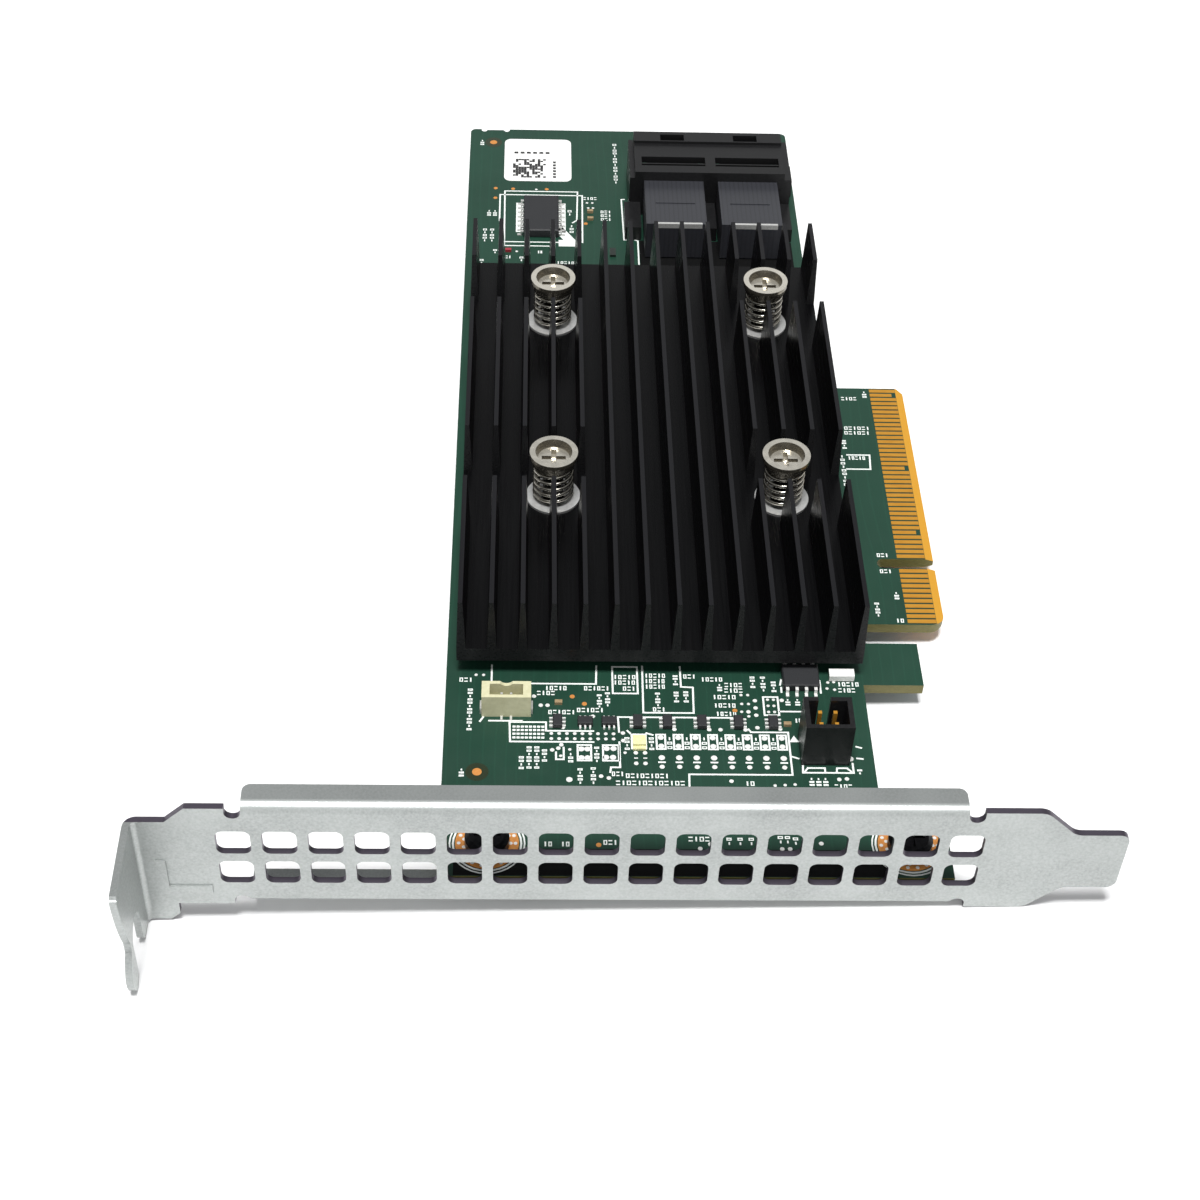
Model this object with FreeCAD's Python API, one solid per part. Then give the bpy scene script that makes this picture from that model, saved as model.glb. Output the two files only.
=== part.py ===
import FreeCAD, Part
import os
from math import cos, hypot, radians, sin

# Low-profile disk controller card on a full-height bracket.
# Frame: origin on the outer edge of the board's contact tongue, at the middle of the
# key notch and of the board's thickness. +X leaves the contact edge, +Y runs away from
# the bracket, +Z is the component side.

# ---- circuit board -----------------------------------------------------------------------
board_thickness = 1.57
board_height = 68.90          # contact edge to the opposite long edge
card_length = 167.65          # bracket's outer face to the board's far edge
notch_to_bracket = 57.15      # key notch centre to the bracket's outer face
board_to_bracket_gap = 0.25
contact_edge_depth = 12.69    # body edge to contact edge
corner_radius = 1.0
notch_width = 1.90
notch_depth = 8.25
tongue_near = 12.15           # key notch centre to the tongue's end by the bracket
tongue_far = 39.15            # key notch centre to the tongue's other end
tongue_corner = 2.2
tongue_cut = 0.9              # outer corner cut of the tongue in plan
bevel_reach = 1.20            # ground bevel along the contact edge
bevel_depth = 0.40
slot_width = 3.65             # gap between tongue and retaining tab
tab_length = 7.80
tab_setback = 4.50            # contact edge to the retaining tab's end
ear_setback = 4.70            # contact edge to the ear's side
ear_length = 12.6             # bracket ear along Y
ear_chamfer = 3.0
snap_width = 5.0              # broken-off panel bridge on the far edge
snap_depth = 0.25
snap_inset = 1.9              # board's long edge to the bridge
snap_bite = 0.5               # radius of the drilled bites at the bridge's ends

# ---- edge contacts -----------------------------------------------------------------------
contact_pitch = 1.00
contact_width = 0.70
contact_length = 4.00
contact_edge_gap = 0.05       # bevel to the contacts' ends
contact_thickness = 0.05
contacts_before_notch = 11
contacts_after_notch = 38
short_contacts = (17, 31, 48)
short_contact_cut = 0.6

# ---- bracket -----------------------------------------------------------------------------
sheet = 0.86
bend_radius = 0.70            # inside radius of every fold
plate_width = 18.42
plate_length = 120.02         # tab's seat, its inner face, to the tongue's end
plate_drop = 4.31             # board's component face to the plate's solder-side edge
plate_overhang = 36.03        # board's long edge to the tab's seat
lip_start = 13.13             # tab's seat to the lip's ends
lip_end = 99.90
lip_depth = 3.85
lip_corner = 1.0
flange_start = 13.00
flange_end = 99.80
flange_depth = 4.75
relief_width = 1.9
lip_relief_depth = 1.8
flange_relief_depth = 1.65
tongue_width = 10.19
tongue_length = 6.70          # straight part of the bracket's lower tongue
tongue_shoulder_round = 2.2
tip_radius = 1.3
top_cut_length = 4.0          # lowered stretch of the plate beside the tab
top_cut_depth = 2.56
foot_length = 4.1             # stretch of the plate that reaches as low as the tab
foot_depth = 3.2
foot_corner = 1.2
vent_columns = 17
vent_pitch_x = 5.53
vent_pitch_z = 5.70
vent_size = 4.20
vent_radius = 1.0
vent_first = 11.85            # tab's seat to the first vent column's centre
rib_height = 0.25
rib_width = 1.3
rib_inset = 2.1               # tab's seat to the pressed L
rib_rise = 2.4                # plate's solder-side edge to the pressed L
rib_upright = 6.2
rib_foot = 6.5
tab_depth = 11.43
screw_slot_width = 4.8
screw_slot_centre = 6.0       # plate's outer face to the slot's middle
screw_slot_reach = 8.0        # slot's depth from the tab's solder-side edge
nick_radius = 0.55
neck_width = 1.0              # metal between the slot and the waist of the hook
neck_high = 7.8               # neck's ends above the tab's solder-side edge
neck_low = 6.0
edge_bow = 0.41               # how far the tab's outer edge stands off its chord
leaf_height = 3.0             # widest place of the leaf under the neck
leaf_root = 1.8               # where the leaf's tip runs into the slot's wall
leaf_tip = 1.33               # leaf's tip to the tab's outer edge
leaf_drop = 0.6               # leaf's tip below the rest of the tab
leaf_bows = (0.28, 0.57, 0.45)
stub_radius = 1.4             # rounded end of the tab beside the slot
bracket_screw_y = 6.2         # plate's outer face to the bracket screws
bracket_screw_left = 6.04     # board's long edge to the first bracket screw
bracket_screw_right = 59.10
boss_diameter = 5.4
tapped_radius = 1.25
flange_ear_radius = 3.6

# ---- screws that hold the bracket --------------------------------------------------------
screw_shank = 2.9
screw_hole = 3.2
pan_head_diameter = 5.6
pan_head_height = 1.9
pan_head_chamfer = 0.6
cross_width = 0.7
cross_depth = 0.8
cross_span = 3.4
ground_ring_radius = 4.0
ground_ring_thickness = 0.05

# ---- heatsink ----------------------------------------------------------------------------
sink_left = 1.40              # board's long edge to the heatsink
sink_near = 35.20             # bracket's outer face to the heatsink
sink_to_blocks = 8.50         # heatsink to the connector's terminal blocks
sink_lift = 2.45              # board to the underside of the base
sink_base = 2.30
fin_count = 14
fin_pitch = 4.10
fin_height = 8.65
fin_root = 1.25
fin_tip = 0.62
cross_slot_width = 10.6
cross_slot_span = 40.65       # middle of one cross slot to the other
cross_slot_inset = 15.10      # heatsink's far end to the nearer slot's middle
left_slot_fins = 5            # fins cut by the slots on each side
right_slot_fins = 4
screw_fins = (3, 11)          # the shoulder screws stand in line with these fins

# ---- shoulder screws, springs, washers, nuts ---------------------------------------------
shoulder_hole = 3.30
shoulder_diameter = 2.90
cup_diameter = 6.80
cup_base_diameter = 5.95
cup_height = 2.10
cup_rim_height = 0.60
dish_depth = 1.15
dish_mouth = 5.20             # dish's diameter at the rim and at its floor
dish_floor = 4.50
cup_below_fins = 0.15         # fin tips to the cup's rim
washer_diameter = 7.75
washer_thickness = 0.35
spring_diameter = 5.90
spring_wire = 0.50
spring_turns = 5
chords_per_turn = 12          # straight chords that stand for each turn of wire
nut_across_flats = 5.0
nut_height = 2.0

# ---- controller chip ---------------------------------------------------------------------
substrate_size = 27.0
substrate_thickness = 1.15
substrate_corner = 0.4
lid_size = 23.0
lid_thickness = 0.85
lid_corner = 1.2
pad_size = 20.7
pad_corner = 0.5

# ---- disk connector ----------------------------------------------------------------------
port_setback = 14.1           # board's far edge to the ports' mouths
port_offset = 27.40           # board's long edge to the connector's left side
connector_width = 27.2
port_first = 7.38             # connector's left side to the first port's middle
port_pitch = 12.45
port_width = 10.30
port_floor = 1.10             # board to the floor of the port
port_height = 6.30
shell_depth = 11.5
shoulder_height = 7.40
shoulder_inset = (0.85, 1.15)
shell_height = 8.60
mouth_rim_height = 0.50
mouth_rim_depth = 2.90
port_depth = 10.0
carrier_depth = 5.0           # contact carrier's reach out of the port's back wall
carrier_wall_gap = 0.80
card_slot_height = 0.90
card_slot_spacing = 2.40
card_slot_wall = 0.6
card_slot_floor = 0.8
card_contact_setback = 0.3
latch_window_width = 10.75
latch_window_y = 6.9          # mouth to the latch window's far side
latch_window_depth = 2.6
latch_bar = 0.25
latch_bar_place = 1.9         # latch window's far side to the bar's near side
latch_bar_drop = 0.15         # top of the shell to the bar across the window
mouth_notch_width = 4.05
mouth_notch_y = 0.85
mouth_notch_depth = 1.80
rail_widths = (2.70, 1.90, 1.90)
rail_height = 2.6
rail_length = 7.4
block_width = 10.00
block_length = 12.4
block_height = 6.90
block_lift = 0.25
comb_depth = 0.45
comb_drop = 0.85
comb_width = 7.5
comb_offset = 0.5             # block's middle to the comb's middle
ridge_width = 6.6
ridge_depth = 0.35
ridge_height = 0.12
tail_count = 9
card_contact_pitch = 0.75
card_contact_width = 0.28
card_contact_thickness = 0.12
tail_size = 0.35
tail_rows = 4
tail_reach = 0.80             # below the board's solder face
peg_diameter = 1.9
peg_inset = 1.6               # connector's sides to the pegs
peg_setback = 2.5             # ports' mouths to the nearer pegs
peg_spacing = 7.2
side_lug_setback = 1.0
side_lug_size = (1.0, 4.6, 3.2)

# ---- headers -----------------------------------------------------------------------------
wire_header_size = (6.50, 2.90, 3.81)
wire_header_wall = (1.05, 0.50)
wire_header_floor = 0.9
wire_header_x = 4.90          # board's long edge to its left side
wire_header_y = 27.37         # bracket's outer face to its near side
scallop_radius = 1.0
scallop_rise = 0.6            # header's top to the scallop's centre
wire_pin_pitch = 1.25
wire_pin = 0.30
wire_pin_drop = 0.8           # header's top to its pins
wire_foot = 0.7
wire_foot_thickness = 0.2
header_ear = (0.25, 1.50, 1.00)
header_ear_inset = 0.5
jumper_size = (6.30, 5.35, 7.35)
jumper_wall = 0.65
jumper_floor = 1.6
jumper_notch = 1.60
jumper_notch_shift = 0.4      # header's middle to the notch's middle
jumper_x = 46.55
jumper_y = 19.30
jumper_pitch = 2.0
jumper_pin = 0.50
jumper_pin_top = 6.3

# ---- chips -------------------------------------------------------------------------------
flash_size = (5.90, 10.20, 1.60)
flash_x = 9.60                # board's long edge to its left side
flash_from_far_edge = 32.70   # board's far edge to its near side
flash_lead_count = 8
flash_lead_pitch = 1.27
small_chip_size = (4.90, 3.90, 1.30)
small_chip_x = 45.20
small_chip_y = 32.30          # bracket's outer face to its near side
small_chip_lead_count = 4
small_chip_pitch = 1.27
lead_width = 0.42
lead_thickness = 0.20
lead_reach = 1.05
chip_standoff = 0.15
chip_bevel = 0.12             # upper edges, as a share of the package's shortest side

# ---- small parts -------------------------------------------------------------------------
transistor_size = (1.25, 2.0, 0.9)
transistor_row = 26.3         # bracket's outer face to the transistors' middle
transistor_x = (14.9, 18.55, 21.7, 25.5, 29.4, 33.95, 38.8, 43.4)
turned_transistors = (1, 2)   # these lie across the row, their leads along the board
transistor_lead = (0.45, 0.24, 0.35)
transistor_lead_pitch = 0.65
lamp_size = (1.70, 2.40, 0.75)
lamp_x = 25.60
lamp_y = 22.85
lamp_lens_inset = 0.45
fuse_size = (3.40, 1.45, 1.20)
fuse_x = 51.55
fuse_y = 34.10
fuse_round = 0.20
capacitor_size = (1.0, 0.55, 0.5)
near_capacitors = ((15.05, 29.8), (45.3, 26.2))             # long edge, plate
far_capacitors = ((20.9, 25.2), (20.9, 27.3), (7.1, 36.7))  # long edge, far edge
array_size = (1.0, 2.0, 0.45)
array_x = 24.50
array_from_far_edge = 36.90
label_size = (11.7, 13.0)
label_x = 6.10
label_from_far_edge = 3.15
label_corner = 1.2
label_thickness = 0.08
back_row_count = 4
back_column_count = 6
back_capacitor_pitch = 3.0

# ---- places that follow from the sizes above ---------------------------------------------
top = board_thickness / 2
bottom = -board_thickness / 2
body_edge = -contact_edge_depth
long_edge = -board_height
plate_face = -notch_to_bracket
near_edge = plate_face + sheet + board_to_bracket_gap
far_edge = plate_face + card_length
outer_radius = bend_radius + sheet
tab_seat = long_edge - plate_overhang
tab_face = tab_seat - sheet
tongue_end = tab_seat + plate_length
solder_side = top - plate_drop
component_side = solder_side + plate_width
tab_low = solder_side - foot_depth
tab_high = component_side - top_cut_depth
port_x = long_edge + port_offset
mouth_y = far_edge - port_setback
shell_rear = mouth_y - shell_depth
blocks_rear = shell_rear - block_length
sink_x = long_edge + sink_left
sink_y = plate_face + sink_near
sink_end = blocks_rear - sink_to_blocks
sink_floor = top + sink_lift
sink_top_of_base = sink_floor + sink_base
fin_tops = sink_top_of_base + fin_height
sink_width = (fin_count - 1) * fin_pitch + fin_root
bracket_screws = [(long_edge + x, plate_face + bracket_screw_y)
                  for x in (bracket_screw_left, bracket_screw_right)]
cross_slots = (sink_end - cross_slot_inset - cross_slot_span, sink_end - cross_slot_inset)
shoulder_screws = [(sink_x + fin_root / 2 + fin * fin_pitch, y)
                   for y in cross_slots for fin in screw_fins]


# ---- helpers -----------------------------------------------------------------------------
def at(x, y, z=0.0):
    return FreeCAD.Vector(x, y, z)


def block(x0, x1, y0, y1, z0, z1):
    """A box between two corners."""
    return Part.makeBox(x1 - x0, y1 - y0, z1 - z0, at(x0, y0, z0))


def round_bar(x, y, z0, z1, radius):
    """An upright cylinder."""
    return Part.makeCylinder(radius, z1 - z0, at(x, y, z0))


def fuse(shapes):
    """All shapes as one, with seams between coplanar faces removed."""
    return shapes[0].multiFuse(shapes[1:]).removeSplitter() if len(shapes) > 1 else shapes[0]


def prism(points, direction):
    """A flat outline pulled along a direction."""
    return Part.Face(Part.makePolygon(points + points[:1])).extrude(direction)


def upright_edges(shape, places, reach=0.01):
    """Edges along Z that stand at the given X, Y places."""
    found = []
    for edge in shape.Edges:
        a, b = edge.Vertexes[0].Point, edge.Vertexes[-1].Point
        if abs(a.x - b.x) + abs(a.y - b.y) > reach or abs(a.z - b.z) < reach:
            continue
        if any(abs(a.x - x) + abs(a.y - y) < reach for x, y in places):
            found.append(edge)
    return found


def nearest_edge(shape, x, y, z):
    """The edge whose middle lies nearest to a place."""
    return min(shape.Edges, key=lambda edge: edge.CenterOfMass.distanceToPoint(at(x, y, z)))


def edges_along(shape, axis, length):
    """Straight edges of one length along an axis, 0 for X, 1 for Y, 2 for Z."""
    found = []
    for edge in shape.Edges:
        step = edge.Vertexes[-1].Point - edge.Vertexes[0].Point
        if abs(abs(step[axis]) - length) < 1e-4 and abs(step.Length - length) < 1e-4:
            found.append(edge)
    return found


def cross_recess(x, y, z_top):
    """The cutter for a cross-head recess."""
    long_half, short_half = cross_span / 2, cross_width / 2
    arms = [block(x - a, x + a, y - b, y + b, z_top - cross_depth, z_top)
            for a, b in ((long_half, short_half), (short_half, long_half))]
    return fuse(arms)


def contact_places():
    """Number and middle along Y of each contact in the row, counted from the bracket end."""
    first = -(contacts_before_notch + 0.5) * contact_pitch
    for number in range(1, contacts_before_notch + contacts_after_notch + 1):
        skipped = 0 if number <= contacts_before_notch else 2
        yield number, first + (number - 1 + skipped) * contact_pitch


# ---- circuit board -----------------------------------------------------------------------
def circuit_board():
    tab_far = -tongue_near - slot_width
    tab_near = tab_far - tab_length
    ear_far = near_edge + ear_length
    z = bottom
    outline = [(long_edge, near_edge), (-ear_setback, near_edge),
               (-ear_setback, ear_far - ear_chamfer), (-ear_setback - ear_chamfer, ear_far),
               (body_edge, ear_far), (body_edge, tab_near), (-tab_setback, tab_near),
               (-tab_setback, tab_far), (body_edge, tab_far), (body_edge, -tongue_near),
               (0, -tongue_near), (0, tongue_far - tongue_cut), (-tongue_cut, tongue_far),
               (body_edge, tongue_far), (body_edge, far_edge), (long_edge, far_edge)]
    board = prism([at(x, y, z) for x, y in outline], at(0, 0, board_thickness))
    corners = [(long_edge, near_edge), (long_edge, far_edge), (body_edge, far_edge),
               (body_edge, ear_far)]
    board = board.makeFillet(corner_radius, upright_edges(board, corners))
    board = board.makeFillet(tongue_corner, upright_edges(board, [(0, -tongue_near)]))
    slot_end = round_bar(body_edge, tab_far + slot_width / 2, bottom, top, slot_width / 2)
    half = notch_width / 2
    notch = fuse([block(-notch_depth + half, 1, -half, half, bottom, top),
                  round_bar(-notch_depth + half, 0, bottom, top, half)])
    holes = [round_bar(x, y, bottom, top, screw_hole / 2) for x, y in bracket_screws]
    holes += [round_bar(x, y, bottom, top, shoulder_hole / 2) for x, y in shoulder_screws]
    holes += [round_bar(x, y, bottom, top, peg_diameter / 2) for x, y in peg_places()]
    return board.cut([slot_end, notch, panel_bridge()] + edge_bevels() + holes)


def edge_bevels():
    """Cutters for the bevels that lead the contacts into a socket."""
    cutters = []
    for face, inward in ((top, -bevel_depth), (bottom, bevel_depth)):
        points = [at(-bevel_reach, -tongue_near, face), at(0, -tongue_near, face),
                  at(0, -tongue_near, face + inward)]
        cutters.append(prism(points, at(0, tongue_near + tongue_far, 0)))
    return cutters


def panel_bridge():
    """Cutter for the rough stub left where the board was snapped from its panel."""
    x0 = long_edge + snap_inset
    x1 = x0 + snap_width
    bites = [round_bar(x, far_edge - snap_depth, bottom, top, snap_bite)
             for x in (x0 + snap_bite, x1 - snap_bite)]
    return fuse([block(x0, x1, far_edge - snap_depth, far_edge, bottom, top)] + bites)


def edge_contacts(z0):
    """One row of gold contacts lying on the face at z0."""
    pads = []
    start = bevel_reach + contact_edge_gap
    for number, y in contact_places():
        near = start + (short_contact_cut if number in short_contacts else 0)
        pads.append(block(-start - contact_length, -near,
                          y - contact_width / 2, y + contact_width / 2,
                          z0, z0 + contact_thickness))
    return Part.makeCompound(pads)


def ground_rings():
    """Bare copper rings under the bracket screws' heads."""
    z1 = top + ground_ring_thickness
    return Part.makeCompound([
        round_bar(x, y, top, z1, ground_ring_radius).cut(round_bar(x, y, top, z1, screw_hole / 2))
        for x, y in bracket_screws])


# ---- bracket -----------------------------------------------------------------------------
def plate_outline():
    """The flat plate, seen from outside: tab end on the left, tapered tongue on the right."""
    shoulder = (plate_width - tongue_width) / 2
    tongue_start = tongue_end - tongue_length
    foot = tab_seat + foot_length
    cut_end = tab_seat + top_cut_length
    low, high = solder_side, component_side
    points = [(tab_face, tab_low), (foot - foot_corner, tab_low), (foot, tab_low + foot_corner),
              (foot, low), (tongue_start - shoulder, low), (tongue_start, low + shoulder),
              (tongue_end, low + shoulder), (tongue_end, high - shoulder),
              (tongue_start, high - shoulder), (tongue_start - shoulder, high),
              (cut_end + top_cut_depth, high), (cut_end, tab_high), (tab_face, tab_high)]
    plate = prism([at(x, plate_face, z) for x, z in points], at(0, sheet, 0))
    middle = plate_face + sheet / 2
    tips = [nearest_edge(plate, tongue_end, middle, z) for z in (low + shoulder, high - shoulder)]
    plate = plate.makeFillet(tip_radius, tips)
    bends = [(tongue_start - shoulder, low), (tongue_start, low + shoulder),
             (tongue_start, high - shoulder), (tongue_start - shoulder, high)]
    edges = [nearest_edge(plate, x, middle, z) for x, z in bends]
    return plate.makeFillet(tongue_shoulder_round, edges)


def relief(x, z_edge, depth):
    """Cutter for a round-ended notch beside a fold; a negative depth goes down."""
    radius = relief_width / 2
    z_round = z_edge + depth - (radius if depth > 0 else -radius)
    z0, z1 = sorted((z_round, z_edge))
    end = Part.makeCylinder(radius, sheet, at(x + radius, plate_face, z_round), at(0, 1, 0))
    return fuse([block(x, x + relief_width, plate_face, plate_face + sheet, z0, z1), end])


def bowed_line(start, end, bow):
    """A straight line, or an arc that stands off its chord by bow, to the left of its way."""
    if bow == 0:
        return Part.LineSegment(start, end).toShape()
    chord = end - start
    side = at(0, chord.z, -chord.y) * (bow / hypot(chord.y, chord.z))
    return Part.Arc(start, (start + end) * 0.5 + side, end).toShape()


def bracket_tab():
    """The tab folded outwards: side-open screw slot, round nick, and a leaf on a narrow neck."""
    half = screw_slot_width / 2
    slot_in, slot_out = screw_slot_centre - half, screw_slot_centre + half
    round_start = screw_slot_reach - half
    neck = slot_out + neck_width
    height = tab_high - tab_low
    quarter_round = 1 - cos(radians(45))
    shoulder_bow, side_bow, tip_bow = leaf_bows
    stretches = [((-sheet, height), 0), ((tab_depth - nick_radius, height), 0),
                 ((tab_depth, height - nick_radius), -nick_radius * quarter_round),
                 ((neck, neck_high), edge_bow), ((neck, neck_low), 0),
                 ((tab_depth, leaf_height), shoulder_bow),
                 ((tab_depth - leaf_tip, -leaf_drop), side_bow),
                 ((slot_out, leaf_root), tip_bow), ((slot_out, round_start), 0),
                 ((slot_in, round_start), -half), ((slot_in, stub_radius), 0),
                 ((slot_in - stub_radius, 0), stub_radius * quarter_round), ((-sheet, 0), 0)]
    places = [at(tab_face, plate_face - outward, tab_low + rise)
              for (outward, rise), _ in stretches]
    lines = [bowed_line(places[k - 1], places[k], bow) for k, (_, bow) in enumerate(stretches)]
    return Part.Face(Part.Wire(lines)).extrude(at(sheet, 0, 0))


def flange_ear(x, y):
    """A rounded ear of the flange with a tapped boss up to the board."""
    z0, z1 = solder_side, solder_side + sheet
    return fuse([round_bar(x, y, z0, z1, flange_ear_radius),
                 block(x - flange_ear_radius, x + flange_ear_radius,
                       plate_face + flange_depth - sheet, y, z0, z1),
                 round_bar(x, y, z1, bottom, boss_diameter / 2)])


def bracket():
    """One folded sheet: perforated plate, lip, flange with tapped ears, and tab."""
    x_lip = (tab_seat + lip_start, tab_seat + lip_end)
    x_flange = (tab_seat + flange_start, tab_seat + flange_end)
    lip = block(*x_lip, plate_face, plate_face + lip_depth, component_side - sheet, component_side)
    lip = lip.makeFillet(lip_corner, [
        nearest_edge(lip, x, plate_face + lip_depth, component_side - sheet / 2) for x in x_lip])
    flange = block(*x_flange, plate_face, plate_face + flange_depth,
                   solder_side, solder_side + sheet)
    notches = [relief(x, component_side, -lip_relief_depth)
               for x in (x_lip[0] - relief_width, x_lip[1])]
    notches += [relief(x, solder_side, flange_relief_depth)
                for x in (x_flange[0] - relief_width, x_flange[1])]
    body = fuse([plate_outline(), lip, flange, bracket_tab()]).cut(notches).removeSplitter()
    lip_x, flange_x = sum(x_lip) / 2, sum(x_flange) / 2
    tab_z = (tab_low + tab_high) / 2
    inside = plate_face + sheet
    outer_folds = [(lip_x, plate_face, component_side), (flange_x, plate_face, solder_side),
                   (tab_face, inside, tab_z)]
    inner_folds = [(lip_x, inside, component_side - sheet), (flange_x, inside, solder_side + sheet),
                   (tab_face + sheet, plate_face, tab_z)]
    body = body.makeFillet(outer_radius, [nearest_edge(body, *fold) for fold in outer_folds])
    body = body.makeFillet(bend_radius, [nearest_edge(body, *fold) for fold in inner_folds])
    body = fuse([body, rib()] + [flange_ear(x, y) for x, y in bracket_screws])
    taps = [round_bar(x, y, solder_side, bottom, tapped_radius) for x, y in bracket_screws]
    return body.cut(vents() + taps)


def vents():
    """Square vents with rounded corners, two rows about the plate's middle."""
    middle = (solder_side + component_side) / 2
    half = vent_size / 2
    cutters = []
    for row in (-0.5, 0.5):
        for column in range(vent_columns):
            x = tab_seat + vent_first + column * vent_pitch_x
            z = middle + row * vent_pitch_z
            vent = block(x - half, x + half, plate_face, plate_face + sheet, z - half, z + half)
            cutters.append(vent.makeFillet(vent_radius, edges_along(vent, 1, sheet)))
    return cutters


def rib():
    """A shallow pressed L that stiffens the plate beside the tab."""
    x0 = tab_seat + rib_inset
    z0 = solder_side + rib_rise
    y0 = plate_face - rib_height
    upright = block(x0, x0 + rib_width, y0, plate_face, z0, z0 + rib_upright)
    foot = block(x0, x0 + rib_foot, y0, plate_face, z0, z0 + rib_width)
    return fuse([upright, foot])


def bracket_screws_shape():
    """Pan-head machine screws through the board into the flange's bosses."""
    screws = []
    for x, y in bracket_screws:
        seat = top + ground_ring_thickness
        head = Part.makeCylinder(pan_head_diameter / 2, pan_head_height, at(x, y, seat))
        head_top = seat + pan_head_height
        rim = [edge for edge in head.Edges if abs(edge.CenterOfMass.z - head_top) < 0.01]
        head = head.makeChamfer(pan_head_chamfer, rim)
        recess = cross_recess(x, y, head_top)
        shank = round_bar(x, y, bottom, seat, screw_shank / 2)
        thread = round_bar(x, y, solder_side, bottom, tapped_radius)
        screws.append(fuse([head.cut(recess), shank, thread]))
    return Part.makeCompound(screws)


# ---- heatsink ----------------------------------------------------------------------------
def heatsink():
    """Extruded base and tapered fins, cross-milled at the two rows of screws."""
    profile = [(sink_x, sink_floor), (sink_x + sink_width, sink_floor)]
    for fin in reversed(range(fin_count)):
        middle = sink_x + fin_root / 2 + fin * fin_pitch
        profile += [(middle + fin_root / 2, sink_top_of_base), (middle + fin_tip / 2, fin_tops),
                    (middle - fin_tip / 2, fin_tops), (middle - fin_root / 2, sink_top_of_base)]
    sink = prism([at(x, sink_y, z) for x, z in profile], at(0, sink_end - sink_y, 0))
    left_end = sink_x + (left_slot_fins - 1) * fin_pitch + fin_root + (fin_pitch - fin_root) / 2
    right_start = sink_x + (fin_count - right_slot_fins) * fin_pitch - (fin_pitch - fin_root) / 2
    cutters = []
    for middle in cross_slots:
        a, b = middle - cross_slot_width / 2, middle + cross_slot_width / 2
        cutters.append(block(sink_x, left_end, a, b, sink_top_of_base, fin_tops))
        cutters.append(block(right_start, sink_x + sink_width, a, b, sink_top_of_base, fin_tops))
    for x, y in shoulder_screws:
        cutters.append(round_bar(x, y, sink_floor, sink_top_of_base, shoulder_hole / 2))
    return sink.cut(cutters)


def spring_seat():
    return sink_top_of_base + washer_thickness


def cup_underside():
    return fin_tops - cup_below_fins - cup_height


def washers():
    return Part.makeCompound([
        round_bar(x, y, sink_top_of_base, spring_seat(), washer_diameter / 2).cut(
            round_bar(x, y, sink_top_of_base, spring_seat(), shoulder_hole / 2))
        for x, y in shoulder_screws])


def springs():
    """Compression springs with level ends, lofted from chord to chord of the winding."""
    outer, inner = spring_diameter / 2, spring_diameter / 2 - spring_wire
    travel = cup_underside() - spring_seat() - spring_wire
    chords = spring_turns * chords_per_turn
    level = chords_per_turn // 2
    sections = []
    for k in range(chords + 1):
        turn = radians(360 * k / chords_per_turn)
        low = travel * min(max((k - level) / (chords - 2 * level), 0), 1)
        corners = [at(radius * cos(turn), radius * sin(turn), low + rise)
                   for radius, rise in ((inner, 0), (outer, 0), (outer, spring_wire),
                                        (inner, spring_wire))]
        sections.append(Part.makePolygon(corners + corners[:1]))
    wound = Part.makeLoft(sections, True, True)
    return Part.makeCompound([wound.translated(at(x, y, spring_seat()))
                              for x, y in shoulder_screws])


def shoulder_screws_shape():
    """Spring screws turned in one piece: flared head with a dish, shank down to the nut."""
    shank, base, rim = shoulder_diameter / 2, cup_base_diameter / 2, cup_diameter / 2
    z0, under = bottom - nut_height, cup_underside()
    z1 = under + cup_height
    profile = [(0, z0), (shank, z0), (shank, under), (base, under), (rim, z1 - cup_rim_height),
               (rim, z1), (dish_mouth / 2, z1), (dish_floor / 2, z1 - dish_depth),
               (0, z1 - dish_depth)]
    points = [at(r, 0, z) for r, z in profile]
    turned = Part.Face(Part.makePolygon(points + points[:1])).revolve(at(0, 0), at(0, 0, 1), 360)
    screw = turned.cut(cross_recess(0, 0, z1 - dish_depth))
    return Part.makeCompound([screw.translated(at(x, y)) for x, y in shoulder_screws])


def nuts():
    """Hexagon nuts on the solder side."""
    corner = nut_across_flats / 2 / cos(radians(30))
    shapes = []
    for x, y in shoulder_screws:
        points = [at(x + corner * cos(radians(60 * k)), y + corner * sin(radians(60 * k)),
                     bottom - nut_height) for k in range(6)]
        hexagon = prism(points, at(0, 0, nut_height))
        shapes.append(hexagon.cut(round_bar(x, y, bottom - nut_height, bottom,
                                            shoulder_diameter / 2)))
    return Part.makeCompound(shapes)


# ---- controller chip ---------------------------------------------------------------------
def chip_centre():
    xs = [x for x, _ in shoulder_screws]
    ys = [y for _, y in shoulder_screws]
    return sum(xs) / len(xs), sum(ys) / len(ys)


def square_slab(size, z0, z1, corner):
    x, y = chip_centre()
    slab = block(x - size / 2, x + size / 2, y - size / 2, y + size / 2, z0, z1)
    return slab.makeChamfer(corner, edges_along(slab, 2, z1 - z0))


def controller_substrate():
    return square_slab(substrate_size, top, top + substrate_thickness, substrate_corner)


def controller_lid():
    z0 = top + substrate_thickness
    return square_slab(lid_size, z0, z0 + lid_thickness, lid_corner)


def thermal_pad():
    z0 = top + substrate_thickness + lid_thickness
    return square_slab(pad_size, z0, sink_floor, pad_corner)


# ---- disk connector ----------------------------------------------------------------------
def port_middles():
    return [port_x + port_first, port_x + port_first + port_pitch]


def peg_places():
    """Board holes of the connector's four locating pegs."""
    xs = (port_x + peg_inset, port_x + connector_width - peg_inset)
    return [(x, mouth_y - y) for x in xs for y in (peg_setback, peg_setback + peg_spacing)]


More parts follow.
